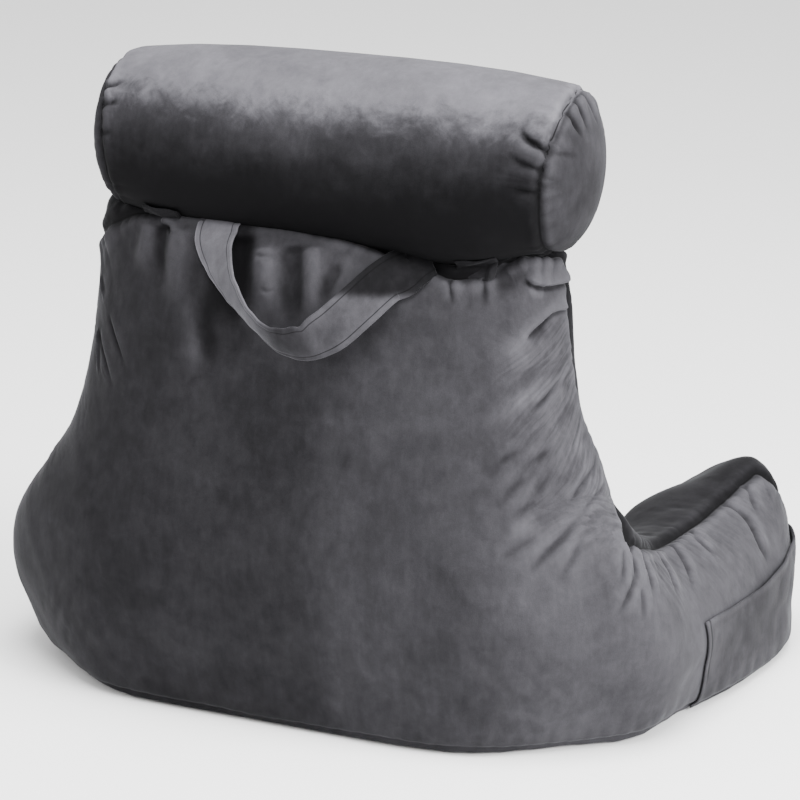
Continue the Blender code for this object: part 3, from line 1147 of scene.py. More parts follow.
@dataclass
class Backrest:
    """The backrest with its two arms, one cushion.

    Attributes:
        filling: How it fills out.
        seam: The seam between the outer and the inner panel.
        drag: The lines that the filling drags into the cloth beside it.
        folds: The folds of its cloth.
        swells: Where its filling stands out or is pressed in.
        held_below: The height under which its base is held while it fills.
        base_seam_height: How high the seam round the base lies.
        base_groove: How deep that seam is.
        base_groove_width: How wide it is.
        base_gather: How high its gathers stand.
        base_gather_spacing: The distance between two gathers.
        foot_growth: How far its foot spreads.
        lump: How far the filling's lumps stand out.
        tightness: How tightly it is filled, from 0 to 1. It is not used.
        piece: The finished piece.
        skin: Its points and normals.
        bare: Its surface before its cloth is folded.
    """

    filling: Filling = Filling()
    seam: Seam = Seam(BODY_SEAM, pucker=Pucker(0.019, 0.0026, 0.026, 0.5, 1.0, 0.3), reach=0.12)
    drag: DragLines = DragLines()
    folds: tuple[Fold, ...] = folds_from(BODY_FOLDS)
    swells: tuple[Swell, ...] = BODY_SWELLS
    held_below: float = 0.005
    base_seam_height: float = 0.006
    base_groove: float = 0.0030
    base_groove_width: float = 0.0036
    base_gather: float = 0.0012
    base_gather_spacing: float = 0.021
    foot_growth: float = 0.006
    lump: float = 0.0022
    tightness: float = 0.75
    piece: bpy.types.Object = field(init=False)
    skin: Skin = field(init=False)
    bare: BVHTree = field(init=False)

    def build(self) -> None:
        """Fills the cushion and folds its cloth."""
        self.piece = merged_copy("body", "backrest_cushion")
        self.filling.even_out(self.piece)
        self.filling.fill(self.piece, (self.seam,), self.held_below)
        refine(self.piece)
        sharp = [fold for fold in self.folds if fold.shape is not SOFT]
        refine_near(self.piece, [(self.seam.stations, 0.014), *finer_along(sharp)])
        self.skin = Skin(self.piece)
        self.spread()
        self.bare = self.skin.tree
        self.add_lumps()
        folded = heights_of(self.folds, self.skin) * self.above_base()
        self.skin.push(folded)
        sewn = np.zeros(len(self.skin.points))
        near = self.seam.add_to(self.skin, sewn)
        self.drag.add_to(self.skin, near, self.keep_seam_distance(near), sewn)
        sewn *= self.above_base()
        self.skin.push(sewn)
        self.sew_base()
        self.skin.store("ridge", (folded + sewn) * 1000)
        shade_smooth(self.piece)

    def spread(self) -> None:
        """Lets the filling settle: the swells, and the foot that spreads on the floor."""
        for swell in self.swells:
            swell.add_to(self.skin)
        sideways = self.skin.normals * (1.0, 1.0, 0.0)
        low = smoothstep(0.060, 0.010, self.skin.points[:, 2])
        self.skin.points += sideways * (self.foot_growth * low)[:, None]
        self.rest_on_floor()

    def above_base(self) -> np.ndarray:
        """How free each point is of the base, from 0 to 1."""
        return smoothstep(0.002, 0.020, self.skin.points[:, 2])

    def add_lumps(self) -> None:
        """Adds the uneven filling's soft lumps."""
        x, y, z = self.skin.points.T
        wide = wander(x + 0.4 * z, 0.31, 1.3) * wander(z - 0.3 * x, 0.27, 2.1)
        small = wander(y + 0.5 * z, 0.19, 3.7) * wander(x - 0.6 * z, 0.15, 0.4)
        self.skin.push(self.lump * (wide + 0.6 * small) * self.above_base())

    def sew_base(self) -> None:
        """Draws in the seam round the base, and keeps the base flat."""
        x, y, z = self.skin.points.T
        round_base = x + 0.7 * y
        upright = smoothstep(0.9, 0.6, np.abs(self.skin.normals[:, 2]))
        above = z - self.base_seam_height * (1 + 0.3 * wander(round_base, 0.3, 0.7))
        groove = bell(above, self.base_groove_width)
        gathers = np.sqrt(np.sin(math.pi * round_base / self.base_gather_spacing) ** 2 + 0.03) - 0.6
        gathers *= bell(above - 0.012, 0.012)
        self.skin.push(upright * (self.base_gather * gathers - self.base_groove * groove))
        self.rest_on_floor()

    def rest_on_floor(self) -> None:
        """Lifts the points that came below the floor, and writes the skin."""
        self.skin.points[:, 2] = np.maximum(self.skin.points[:, 2], 0.0)
        self.skin.write()

    def keep_seam_distance(self, near: Near) -> np.ndarray:
        """Stores each point's signed distance from the seam: above zero on the outer panel.

        Args:
            near: The points near the seam.

        Returns:
            The distances.
        """
        unsure, close, far_away = 0.005, 0.012, 0.05
        distance = np.full(len(self.skin.points), np.nan)
        distance[near.index] = near.aside
        sure = np.abs(distance) > unsure
        mesh = self.piece.data
        ends = np.empty(2 * len(mesh.edges), np.int32)
        mesh.edges.foreach_get("vertices", ends)
        ends = ends.reshape(-1, 2)
        side = np.where(sure & (np.abs(distance) < close), np.sign(distance), 0.0)
        side[np.isnan(distance)] = 0.0
        blocked = np.abs(np.nan_to_num(distance, nan=1.0)) <= unsure
        while True:
            first, second = side[ends[:, 0]], side[ends[:, 1]]
            to_second = (first != 0) & (second == 0) & ~blocked[ends[:, 1]]
            to_first = (second != 0) & (first == 0) & ~blocked[ends[:, 0]]
            if not (to_second.any() or to_first.any()):
                break
            side[ends[to_second, 1]] = first[to_second]
            side[ends[to_first, 0]] = second[to_first]
        far = np.where(side == 0, -1.0, side) * far_away
        known = np.where(blocked, distance, np.abs(distance) * np.sign(far))
        signed = np.where(np.isnan(distance), far, known)
        self.skin.store("seam_distance", signed * 1000)
        return signed

    def clear_of(self, other: Skin, gap: float) -> None:
        """Moves the cloth out of a neighbour that it would touch.

        Args:
            other: The neighbour.
            gap: The least distance between them.
        """
        for i in self.skin.boxed(other.points, gap):
            place, normal, _, _ = other.tree.find_nearest(Vector(self.skin.points[i]))
            depth = (Vector(self.skin.points[i]) - place).dot(normal)
            if depth < gap:
                self.skin.points[i] = place + normal * gap
        self.skin.write()

    def dress(self) -> None:
        """Gives the cushion its velvet and puts it on the frame."""
        velvet = Velvet(VelvetLook("body_velvet", mottle=0.13))
        bench = velvet.bench
        across = bench.axis(velvet.places, "X")
        up = bench.axis(velvet.places, "Z")
        wobble = bench.noise(velvet.places, 0.09, 4.0, 0.6, 0.5)
        # Paler towards -X, the side that faces the key light: on the back this is partly the pile's
        # lie and partly painted light, on the arm's outer side and the flank beside it it is
        # painted light.
        from_edge = across * -1.0 + up * 0.06 + wobble * 0.16 - 0.145
        arm_side = (across * -1.0 + wobble * 0.05).between(0.21, 0.33)
        flank = (across * -1.0).between(0.20, 0.24) * (across * -1.0).between(0.31, 0.28)
        paler_towards_light = from_edge.between(-0.04, 0.03) * 0.10 + arm_side * 0.10 + flank * 0.035
        high = up.between(0.385, 0.415)
        # Painted shadow on the back just beside the strap's left branch, inside the handle.
        painted_strap_shadow = across.between(0.046, 0.056) * across.between(0.095, 0.080) * high
        behind_strap = across.between(-0.080, -0.050) * across.between(0.050, 0.040) * high
        width, length = bench.attribute("drag_across") / 6.0, bench.attribute("drag_along") / 45.0
        slanting = bench.node("ShaderNodeCombineXYZ", None, {0: width, 1: length})
        streaks = bench.noise(slanting, 1.0, 3.0, 0.6, 0.3).between(0.30, 0.70) - 0.5
        streaks = streaks * bench.attribute("drag")
        # The fold heights give painted highlight on crests and painted shade in valleys.
        outer = 0.25 + paler_towards_light + (velvet.patches() - 0.5) * 0.09 + velvet.painted_fold_shading() * 0.24
        outer = outer + streaks * 0.20 + behind_strap * 0.08 - painted_strap_shadow * 0.15
        # Painted shade on the inner panel where it tucks in under the roll near the -X corner.
        painted_tuck_shade = up.between(0.435, 0.455) * bench.axis(velvet.places, "Y").between(0.11, 0.15)
        painted_tuck_shade = painted_tuck_shade * across.between(-0.215, -0.190)
        on_arm = up.between(0.30, 0.24)
        inner = 0.24 - on_arm * 0.09 + (velvet.patches() - 0.5) * 0.12
        inner = inner + velvet.painted_fold_shading() * 0.20 - painted_tuck_shade * 0.18
        distance = bench.attribute("seam_distance")
        inner_side = 1 - distance.between(-0.4, 0.4)
        paleness = outer * (1 - inner_side) + inner * inner_side
        line = abs(distance).between(1.5, 0.5) * 0.9
        put_on_frame(self.piece, velvet.finish(paleness, line), "body")


# ------------------------------------------------------------------------------------------------
# The neck roll


# How far from the roll's axis its end seams lie, at turns from straight up towards the rear.
RIGHT_END = (
    (-180.0, 0.0845), (-60.0, 0.0835), (-20.0, 0.0790), (12.0, 0.0755), (40.0, 0.0770),
    (68.0, 0.0820), (95.0, 0.0845), (180.0, 0.0845),
)
LEFT_END = (
    (-180.0, 0.085), (-120.0, 0.085), (-60.0, 0.0848), (-33.0, 0.0820), (-10.0, 0.0755),
    (15.0, 0.0705), (45.0, 0.0695), (67.0, 0.0725), (85.0, 0.0765), (103.0, 0.0790),
    (121.0, 0.0815), (144.0, 0.0845), (180.0, 0.085),
)


@dataclass
class NeckRoll:
    """The neck roll, a cushion with two round ends.

    Attributes:
        centre: The middle of its axis.
        radius: The radius of its barrel.
        half_barrel: Half the distance between its end seams.
        rim: The radius where its ends start to round over.
        dome: How far its ends stand out.
        edge_sag: How far it settles over the backrest's edge.
        dip_sag: How much further it settles where that edge dips.
        filling: How it fills out.
        tightness: How tightly it is filled, from 0 to 1. It is not used.
        piece: The finished piece.
        skin: Its points and normals.
    """

    centre: tuple[float, float, float] = (-0.0121, 0.1177, 0.552)
    radius: float = 0.088
    half_barrel: float = 0.220
    rim: float = 0.085
    dome: float = 0.032
    edge_sag: float = 0.0080
    dip_sag: float = 0.0110
    filling: Filling = Filling(voxel=0.0045, most_travel=0.006)
    tightness: float = 0.9
    piece: bpy.types.Object = field(init=False)
    skin: Skin = field(init=False)

    def end_seam(self, side: int) -> Seam:
        """The seam round one end.

        Args:
            side: 1 or -1, the end's side along X.

        Returns:
            The seam.
        """
        stations = []
        for i in range(25):
            turn = 15.0 * i - 180
            place = self.on_cap(side, float(self.seam_radius(side, np.array(turn))), turn)
            stations.append((*place, 0.8))
        puckers = Pucker(0.020, 0.0022, 0.020, 0.4, seed=2.0 + side)
        return Seam(tuple(stations), 0.0022, 0.0036, puckers)

    def seam_radius(self, side: int, turns: np.ndarray) -> np.ndarray:
        """How far from the axis an end's seam lies, at turns from straight up to the rear."""
        turned, radius = zip(*(LEFT_END if side < 0 else RIGHT_END), strict=True)
        return np.interp(turns, turned, radius)

    def keep_ends(self) -> None:
        """Stores which points lie inside an end seam."""
        away = self.skin.points - self.centre
        turns = np.degrees(np.arctan2(away[:, 1], away[:, 2]))
        out = np.linalg.norm(away[:, 1:], axis=1)
        inside = np.zeros(len(out))
        for side in (1, -1):
            radius = self.seam_radius(side, turns)
            dome = self.dome * np.sqrt(np.maximum(0.0, 1 - (radius / self.rim) ** 2))
            past = side * away[:, 0] - self.half_barrel - dome + 0.5 * (radius - out)
            inside = np.maximum(inside, smoothstep(-0.0015, 0.0015, past))
        self.skin.store("end", inside)

    def build(self) -> None:
        """Fills the cushion and gathers its ends."""
        self.piece = merged_copy("neck_roll", "neck_roll_cushion")
        seams = [self.end_seam(1), self.end_seam(-1)]
        self.filling.even_out(self.piece)
        self.filling.fill(self.piece, seams)
        refine(self.piece)
        along_seams = [(seam.stations, 0.012) for seam in seams]
        refine_near(self.piece, [*along_seams, *finer_along(self.folds())])
        self.skin = Skin(self.piece)
        self.sag()
        folded = heights_of(self.folds(), self.skin)
        self.skin.push(folded)
        sewn = np.zeros(len(self.skin.points))
        distance = np.full(len(sewn), 0.05)
        for seam in seams:
            near = seam.add_to(self.skin, sewn)
            distance[near.index] = np.minimum(distance[near.index], np.abs(near.aside))
        self.skin.push(sewn)
        self.skin.store("seam_distance", distance * 1000)
        self.skin.store("ridge", (folded + sewn) * 1000)
        self.keep_ends()
        shade_smooth(self.piece)

    def sag(self) -> None:
        """Lets the roll settle over the backrest's edge, most where the edge dips."""
        away = self.skin.points - self.centre
        turn = np.degrees(np.arctan2(away[:, 1], -away[:, 2]))
        middle = smoothstep(0.235, 0.165, np.abs(away[:, 0]))
        over_edge = self.edge_sag * bell(turn - 46, 27)
        in_dip = self.dip_sag * bell(self.skin.points[:, 0] + 0.145, 0.065) * bell(turn - 25, 32)
        outward = unit(away * (0.0, 1.0, 1.0))
        self.skin.points += outward * (middle * (over_edge + in_dip))[:, None]
        self.skin.write()

    def round_axis(self, out: float, turn: float) -> tuple[float, float]:
        """The Y and Z of a place, from its distance and its turn round the axis."""
        angle = math.radians(turn)
        return self.centre[1] + out * math.sin(angle), self.centre[2] + out * math.cos(angle)

    def on_barrel(self, x: float, turn: float) -> tuple[float, float, float]:
        """A place on the barrel, at a turn from straight up towards the rear."""
        return x, *self.round_axis(self.radius, turn)

    def on_cap(self, side: int, out: float, turn: float) -> tuple[float, float, float]:
        """A place on an end, at a distance from the axis and a turn from straight up."""
        dome = self.dome * math.sqrt(max(0.0, 1 - (out / self.rim) ** 2))
        return self.centre[0] + side * (self.half_barrel + dome), *self.round_axis(out, turn)

    def folds(self) -> list[Fold]:
        """The gathers of its -X end, and the tucks that run from its ends to its barrel."""
        gathers = (
            (0.0040, (0.072, 8), (0.056, 8), (0.036, 6)),
            (0.0044, (0.075, -8), (0.060, -18), (0.044, -34)),
            (0.0028, (0.079, -22), (0.069, -40), (0.066, -62)),
            (0.0034, (0.069, 26), (0.054, 28), (0.036, 26)),
            (0.0012, (0.072, 67), (0.048, 62), (0.028, 54)),
        )
        tucks = (
            (-1, 0.0056, (0.072, 66), (0.079, 65), (-0.227, 60), (-0.215, 50)),
            (-1, 0.0026, (0.075, 80), (0.081, 79), (-0.224, 76), (-0.208, 69)),
            (-1, 0.0014, (0.078, 96), (0.082, 95), (-0.224, 94), (-0.212, 91)),
            (1, 0.0040, (0.078, 50), (0.082, 50), (0.206, 49), (0.193, 44)),
            (1, 0.0030, (0.081, 64), (0.084, 64), (0.205, 63), (0.194, 60)),
            (1, 0.0018, (0.083, 84), (0.085, 84), (0.204, 83), (0.195, 82)),
        )
        fades = (0.02, 0.6)
        made = []
        for height, *spots in gathers:
            places = tuple(self.on_cap(-1, *spot) for spot in spots)
            made.append(Fold(CREASE, 0.008, height, places, fades))
        for side, height, first, second, *rest in tucks:
            on_cap = (self.on_cap(side, *spot) for spot in (first, second))
            places = (*on_cap, *(self.on_barrel(*spot) for spot in rest))
            made.append(Fold(CREASE, 0.009, height, places, fades))
        return made

    def dress(self) -> None:
        """Gives the roll its velvet, with painted light on its top and painted shade on its
        underside.
        """
        look = VelvetLook("roll_velvet", sheen=0.02, mottle=0.09, seed_shift=(3.1, 1.7, 0.4))
        velvet = Velvet(look)
        bench = velvet.bench
        up = bench.axis(velvet.places, "Z")
        along = bench.axis(velvet.places, "X")
        wobble = bench.noise(velvet.shifted, 0.085, 6.0, 0.70, 0.6) - 0.5
        ragged = bench.noise(velvet.shifted, 0.016, 3.0, 0.6, 0.8) - 0.5
        # Painted light and shade: the barrel gets paler with height, near black on its underside
        # and palest on its top, with a ragged edge between.
        tilted = up - self.centre[2] + along * 0.012 - 0.013
        height = tilted + wobble * 0.08 + ragged * 0.04
        paler_towards_light = height.between(0.015, 0.052)
        lower = (tilted + wobble * 0.03).between(-0.070, 0.058)
        end = bench.attribute("end")
        # Painted sheen on the front side of each end.
        front, rear = self.centre[1] - 0.07, self.centre[1] + 0.03
        painted_end_sheen = bench.axis(velvet.places, "Y").between(rear, front)
        barrel = lower * 0.42 + paler_towards_light * 0.28
        # Painted shade on the bottom of each end.
        under = (up - self.centre[2]).between(-0.052, -0.086)
        cap = 0.285 + painted_end_sheen * 0.13 + paler_towards_light * 0.05 - under * 0.16
        paleness = barrel * (1 - end) + cap * end
        # The fold heights give painted highlight on crests and painted shade in valleys.
        paleness = paleness + (velvet.patches() - 0.5) * 0.10 + velvet.painted_fold_shading() * 0.24
        line = bench.attribute("seam_distance").between(1.2, 0.3) * 0.85
        put_on_frame(self.piece, velvet.finish(paleness, line), "neck_roll")


# ------------------------------------------------------------------------------------------------
# Cloth sheets: the strap, the tabs and the pocket


def laid_sheet(
    name: str, columns: int, rows: int, place: Callable[[float, float], Vector]
) -> bpy.types.Object:
    """Lays a grid of cloth in its place.

    Args:
        name: The piece's name.
        columns: How many facets it has across.
        rows: How many facets it has along.
        place: Gives the place of each point from its shares across and along, from 0 to 1.

    Returns:
        The sheet, with no thickness yet.
    """
    bpy.ops.object.select_all(action="DESELECT")
    bpy.ops.mesh.primitive_grid_add(x_subdivisions=columns, y_subdivisions=rows, size=1.0)
    piece = bpy.context.object
    piece.name = name
    piece.data.name = name
    for point in piece.data.vertices:
        point.co = place(point.co.x + 0.5, point.co.y + 0.5)
    return piece


def thicken(
    piece: bpy.types.Object, thickness: float, pinched: Callable[[float, float], float]
) -> None:
    """Gives a sheet its thickness and rounded edges, thinner where it is stitched.

    Args:
        piece: The sheet.
        thickness: Its thickness.
        pinched: Gives the share of the thickness that is left, from the shares across and along.
    """
    layout = piece.data.uv_layers.active.data
    shares = {loop.vertex_index: tuple(layout[loop.index].uv) for loop in piece.data.loops}
    group = piece.vertex_groups.new(name="thickness")
    for index, (across, along) in shares.items():
        group.add([index], pinched(across, along), "REPLACE")
    solid = piece.modifiers.new("thickness", "SOLIDIFY")
    solid.thickness = thickness
    solid.offset = 0.0
    solid.vertex_group = group.name
    solid.thickness_vertex_group = 0.0
    refine(piece)
    piece.vertex_groups.clear()
    face_outwards(piece)
    shade_smooth(piece)


class StrapStation(NamedTuple):
    """A point of the strap's middle line.

    Attributes:
        x: Its place along X.
        height: Its height.
        stand_off: Its distance from the back.
        turn: How far the strap is turned there: 90 stands it on its edge.
    """

    x: float
    height: float
    stand_off: float
    turn: float


@dataclass
class CarryStrap:
    """The carry strap, a flat sewn band that hangs in a loop from the back's top seam.

    Attributes:
        back: The cushion that it hangs on.
        width: Its width.
        thickness: Its thickness.
        stitch_inset: How far the topstitching runs from each edge.
        least_stand_off: The least distance between its middle and the back.
        kink: How far its outer edge drops where the loop bends up.
        kink_place: Where that is, as a share of its length.
        curl: How far its edges curl towards the back.
        columns: How many facets it has across.
        rows: How many facets it has along.
        stations: Its middle line.
        piece: The finished piece.
        length: Its length, laid out flat.
    """

    back: Backrest
    width: float = 0.044
    thickness: float = 0.003
    stitch_inset: float = 0.006
    least_stand_off: float = 0.0036
    kink: float = 0.0045
    kink_place: float = 0.60
    curl: float = 0.0020
    columns: int = 22
    rows: int = 120
    stations: tuple[StrapStation, ...] = (
        StrapStation(0.0885, 0.486, -0.0010, 0.0),
        StrapStation(0.0880, 0.478, 0.0020, 0.0),
        StrapStation(0.0820, 0.463, 0.0080, -14.0),
        StrapStation(0.0660, 0.445, 0.0200, -32.0),
        StrapStation(0.0475, 0.428, 0.0280, -44.0),
        StrapStation(0.0290, 0.412, 0.0310, -52.0),
        StrapStation(0.0120, 0.400, 0.0320, -52.0),
        StrapStation(-0.0071, 0.392, 0.0320, -44.0),
        StrapStation(-0.0301, 0.393, 0.0310, -32.0),
        StrapStation(-0.0551, 0.407, 0.0280, -16.0),
        StrapStation(-0.0765, 0.429, 0.0210, -8.0),
        StrapStation(-0.0965, 0.451, 0.0120, -6.0),
        StrapStation(-0.1081, 0.456, 0.0030, 0.0),
        StrapStation(-0.1150, 0.4635, 0.0015, 0.0),
        StrapStation(-0.1210, 0.4700, -0.0010, 0.0),
    )
    piece: bpy.types.Object = field(init=False)
    length: float = field(init=False)

    def back_y(self, x: float, height: float) -> float:
        """The Y of the back's rear surface, or of its edge below a place above it.

        Args:
            x: The place along X.
            height: The height.

        Returns:
            The surface's Y.
        """
        seam_y, step = 0.186, 0.004
        top = self.back.bare.ray_cast(Vector((x, seam_y, 1.0)), Vector((0.0, 0.0, -1.0)))[0]
        over = 0.0
        if top is not None and height > top.z - step:
            over = height - top.z + step
            height = top.z - step
        hit = None
        while hit is None:
            hit = self.back.bare.ray_cast(Vector((x, 1.0, height)), Vector((0.0, -1.0, 0.0)))[0]
            height -= step
        return hit.y - 1.5 * over

    def build(self) -> None:
        """Lays the strap, gives it its thickness and pinches its stitching."""
        flat = [(s.x, s.height, 0.0, s.stand_off, s.turn) for s in self.stations]
        curve = curve_through(flat, 0.001)
        run = run_along(curve[:, [0, 1, 3]])
        self.length = float(run[-1])
        even = np.linspace(0.0, self.length, self.rows + 1)
        middle = np.array([np.interp(even, run, curve[:, i]) for i in range(5)]).T

        def place(across: float, along: float) -> Vector:
            """Where one point of the strap lies.

            Args:
                across: Its share of the way across, from 0 to 1.
                along: Its share of the way along, from 0 to 1.

            Returns:
                The place.
            """
            i = round(along * self.rows)
            x, height, _, stand_off, turn = middle[i]
            ahead, behind = middle[min(i + 1, self.rows)], middle[max(i - 1, 0)]
            forward = Vector((ahead[0] - behind[0], 0.0, ahead[1] - behind[1])).normalized()
            inward = Vector((-forward.z, 0.0, forward.x))
            angle = math.radians(turn)
            beside = inward * math.cos(angle) + Vector((0.0, math.sin(angle), 0.0))
            found = Vector((x, 0.0, height)) + beside * ((across - 0.5) * self.width)
            found.y += max(stand_off, self.least_stand_off - found.y)
            found.y += self.back_y(found.x, found.z)
            normal = beside.cross(forward)
            if normal.y < 0:
                normal = -normal
            ripple = 0.0003 * math.sin(61 * along + 5 * across)
            ripple += 0.0002 * math.sin(113 * along - 3 * across)
            found += normal * (ripple - self.curl * (2 * abs(across - 0.5)) ** 2)
            kink = self.kink * float(bell(along - self.kink_place, 0.020))
            found.z -= kink * max(0.0, 1 - 2 * across)
            from_end = np.array(min(along, 1 - along) * self.length)
            least = self.least_stand_off * float(smoothstep(0.004, 0.014, from_end))
            return self.back.skin.lifted(found, least)

        self.piece = laid_sheet("carry_strap", self.columns, self.rows, place)
        inset = self.stitch_inset / self.width

        def pinched(across: float, along: float) -> float:
            """How much of the strap's thickness is left.

            Args:
                across: Its share of the way across, from 0 to 1.
                along: Its share of the way along, from 0 to 1.

            Returns:
                A share of the thickness.
            """
            from_edge = min(across, 1 - across)
            stitch = float(bell(from_edge - inset, 0.028))
            return (0.72 if from_edge < 0.01 else 1.0) - 0.45 * stitch

        thicken(self.piece, self.thickness, pinched)

    def dress(self) -> None:
        """Gives the strap its velvet and puts it on the frame."""
        velvet = Velvet(VelvetLook("strap_velvet", sheen=0.16, mottle=0.05))
        bench = velvet.bench
        across, along = bench.unwrapped()
        left_branch = along.between(0.52, 0.34)
        # Painted shade on the top of the right branch, where it runs under the roll; the rest of
        # the strap is painted paler.
        painted_shade_under_roll = along.between(0.55, 0.62) * bench.axis(velvet.places, "Z").between(0.434, 0.444)
        low_branch = 1.0 - painted_shade_under_roll
        # Painted highlight along the inner edge of the left branch: a band on its lower part and a
        # narrow bright line at the very edge.
        painted_inner_edge_light = across.between(0.62, 0.95) * along.between(0.25, 0.40) * low_branch
        rim = across.between(0.93, 0.98) * along.between(0.60, 0.50)
        patch = along.between(0.56, 0.64) * low_branch
        paleness = 0.11 + left_branch * 0.36 + low_branch * 0.17 + painted_inner_edge_light * 0.06 + rim * 0.16
        paleness = paleness + patch * 0.16 + (velvet.patches() - 0.5) * 0.12
        from_edge = 0.5 - abs(across - 0.5)
        line = abs(from_edge - self.stitch_inset / self.width).between(0.016, 0.006) * 0.75
        put_on_frame(self.piece, velvet.finish(paleness, line), "carry_handle")


@dataclass
class RollTab:
    """A fastening tab, a short band that follows the roll above the back's top seam.

    Attributes:
        name: The piece's name.
        node: The node that it stands for.
        roll: The roll.
        x: The middle of its place along X.
        start: Where it starts round the roll, from straight down towards the rear.
        folded: Whether it laps over itself.
        paleness: How pale its velvet is.
        arc: The angle that it covers.
        hang: How much of it hangs from the roll to the back's seam.
        width: Its width.
        thickness: Its thickness.
        laid_radius: The radius at which it lies round the roll.
        lap: How much longer a folded tab is, laid out flat.
        stand_off: The distance from the roll to its middle.
        rows: How many facets it has along.
        piece: The finished piece.
    """

    name: str
    node: str
    roll: NeckRoll
    x: float
    start: float
    folded: bool
    paleness: float
    arc: float
    hang: float = 0.0
    width: float = 0.040
    thickness: float = 0.0018
    laid_radius: float = 0.09
    lap: float = 1.45
    stand_off: float = 0.0016
    rows: int = 14
    piece: bpy.types.Object = field(init=False)

    @property
    def length(self) -> float:
        """Its length, laid out flat."""
        on_roll = 2 * math.pi * self.laid_radius * self.arc / 360
        return self.hang + on_roll * (self.lap if self.folded else 1.0)

    def build(self) -> None:
        """Lays the tab on the roll."""
        centre = Vector((self.x, self.roll.centre[1], self.roll.centre[2]))

        def place(across: float, along: float) -> Vector:
            """Where one point of the tab lies.

            Args:
                across: Its share of the way across, from 0 to 1.
                along: Its share of the way along, from 0 to 1.

            Returns:
                The place.
            """
            below = max(0.0, self.hang - along * self.length)
            along = max(0.0, along - self.hang / self.length) / (1 - self.hang / self.length)
            turn, out = self.arc * along, self.stand_off
            if self.folded:
                lap = max(0.0, along - 0.5)
                turn = self.arc * (2 * min(along, 0.5) - 0.9 * lap)
                out += 0.0030 * math.sin(math.pi * min(1.0, max(0.0, along - 0.4) / 0.2) / 2)
            angle = math.radians(self.start + turn)
            outward = Vector((0.0, math.sin(angle), -math.cos(angle)))
            start = centre + Vector(((across - 0.5) * self.width, 0.0, 0.0))
            hit = self.roll.skin.tree.ray_cast(start, outward)[0]
            wave = 0.0006 * math.sin(9 * across + 4 * along)
            fold = 0.0035 * bell(across - 0.12, 0.06) * smoothstep(0.0, 0.006, np.array(below))
            hanging = Vector((0.0, 0.50 * below + float(fold), -0.86 * below))
            return hit + outward * (out + wave) + hanging

        self.piece = laid_sheet(self.name, 24, self.rows, place)
        thicken(self.piece, self.thickness, lambda across, along: 1.0)

    def dress(self) -> None:
        """Gives the tab its velvet and puts it on the frame."""
        velvet = Velvet(VelvetLook(f"{self.name}_velvet", sheen=0.06, mottle=0.03))
        paleness = self.paleness + (velvet.patches() - 0.5) * 0.12
        put_on_frame(self.piece, velvet.finish(paleness), self.node)


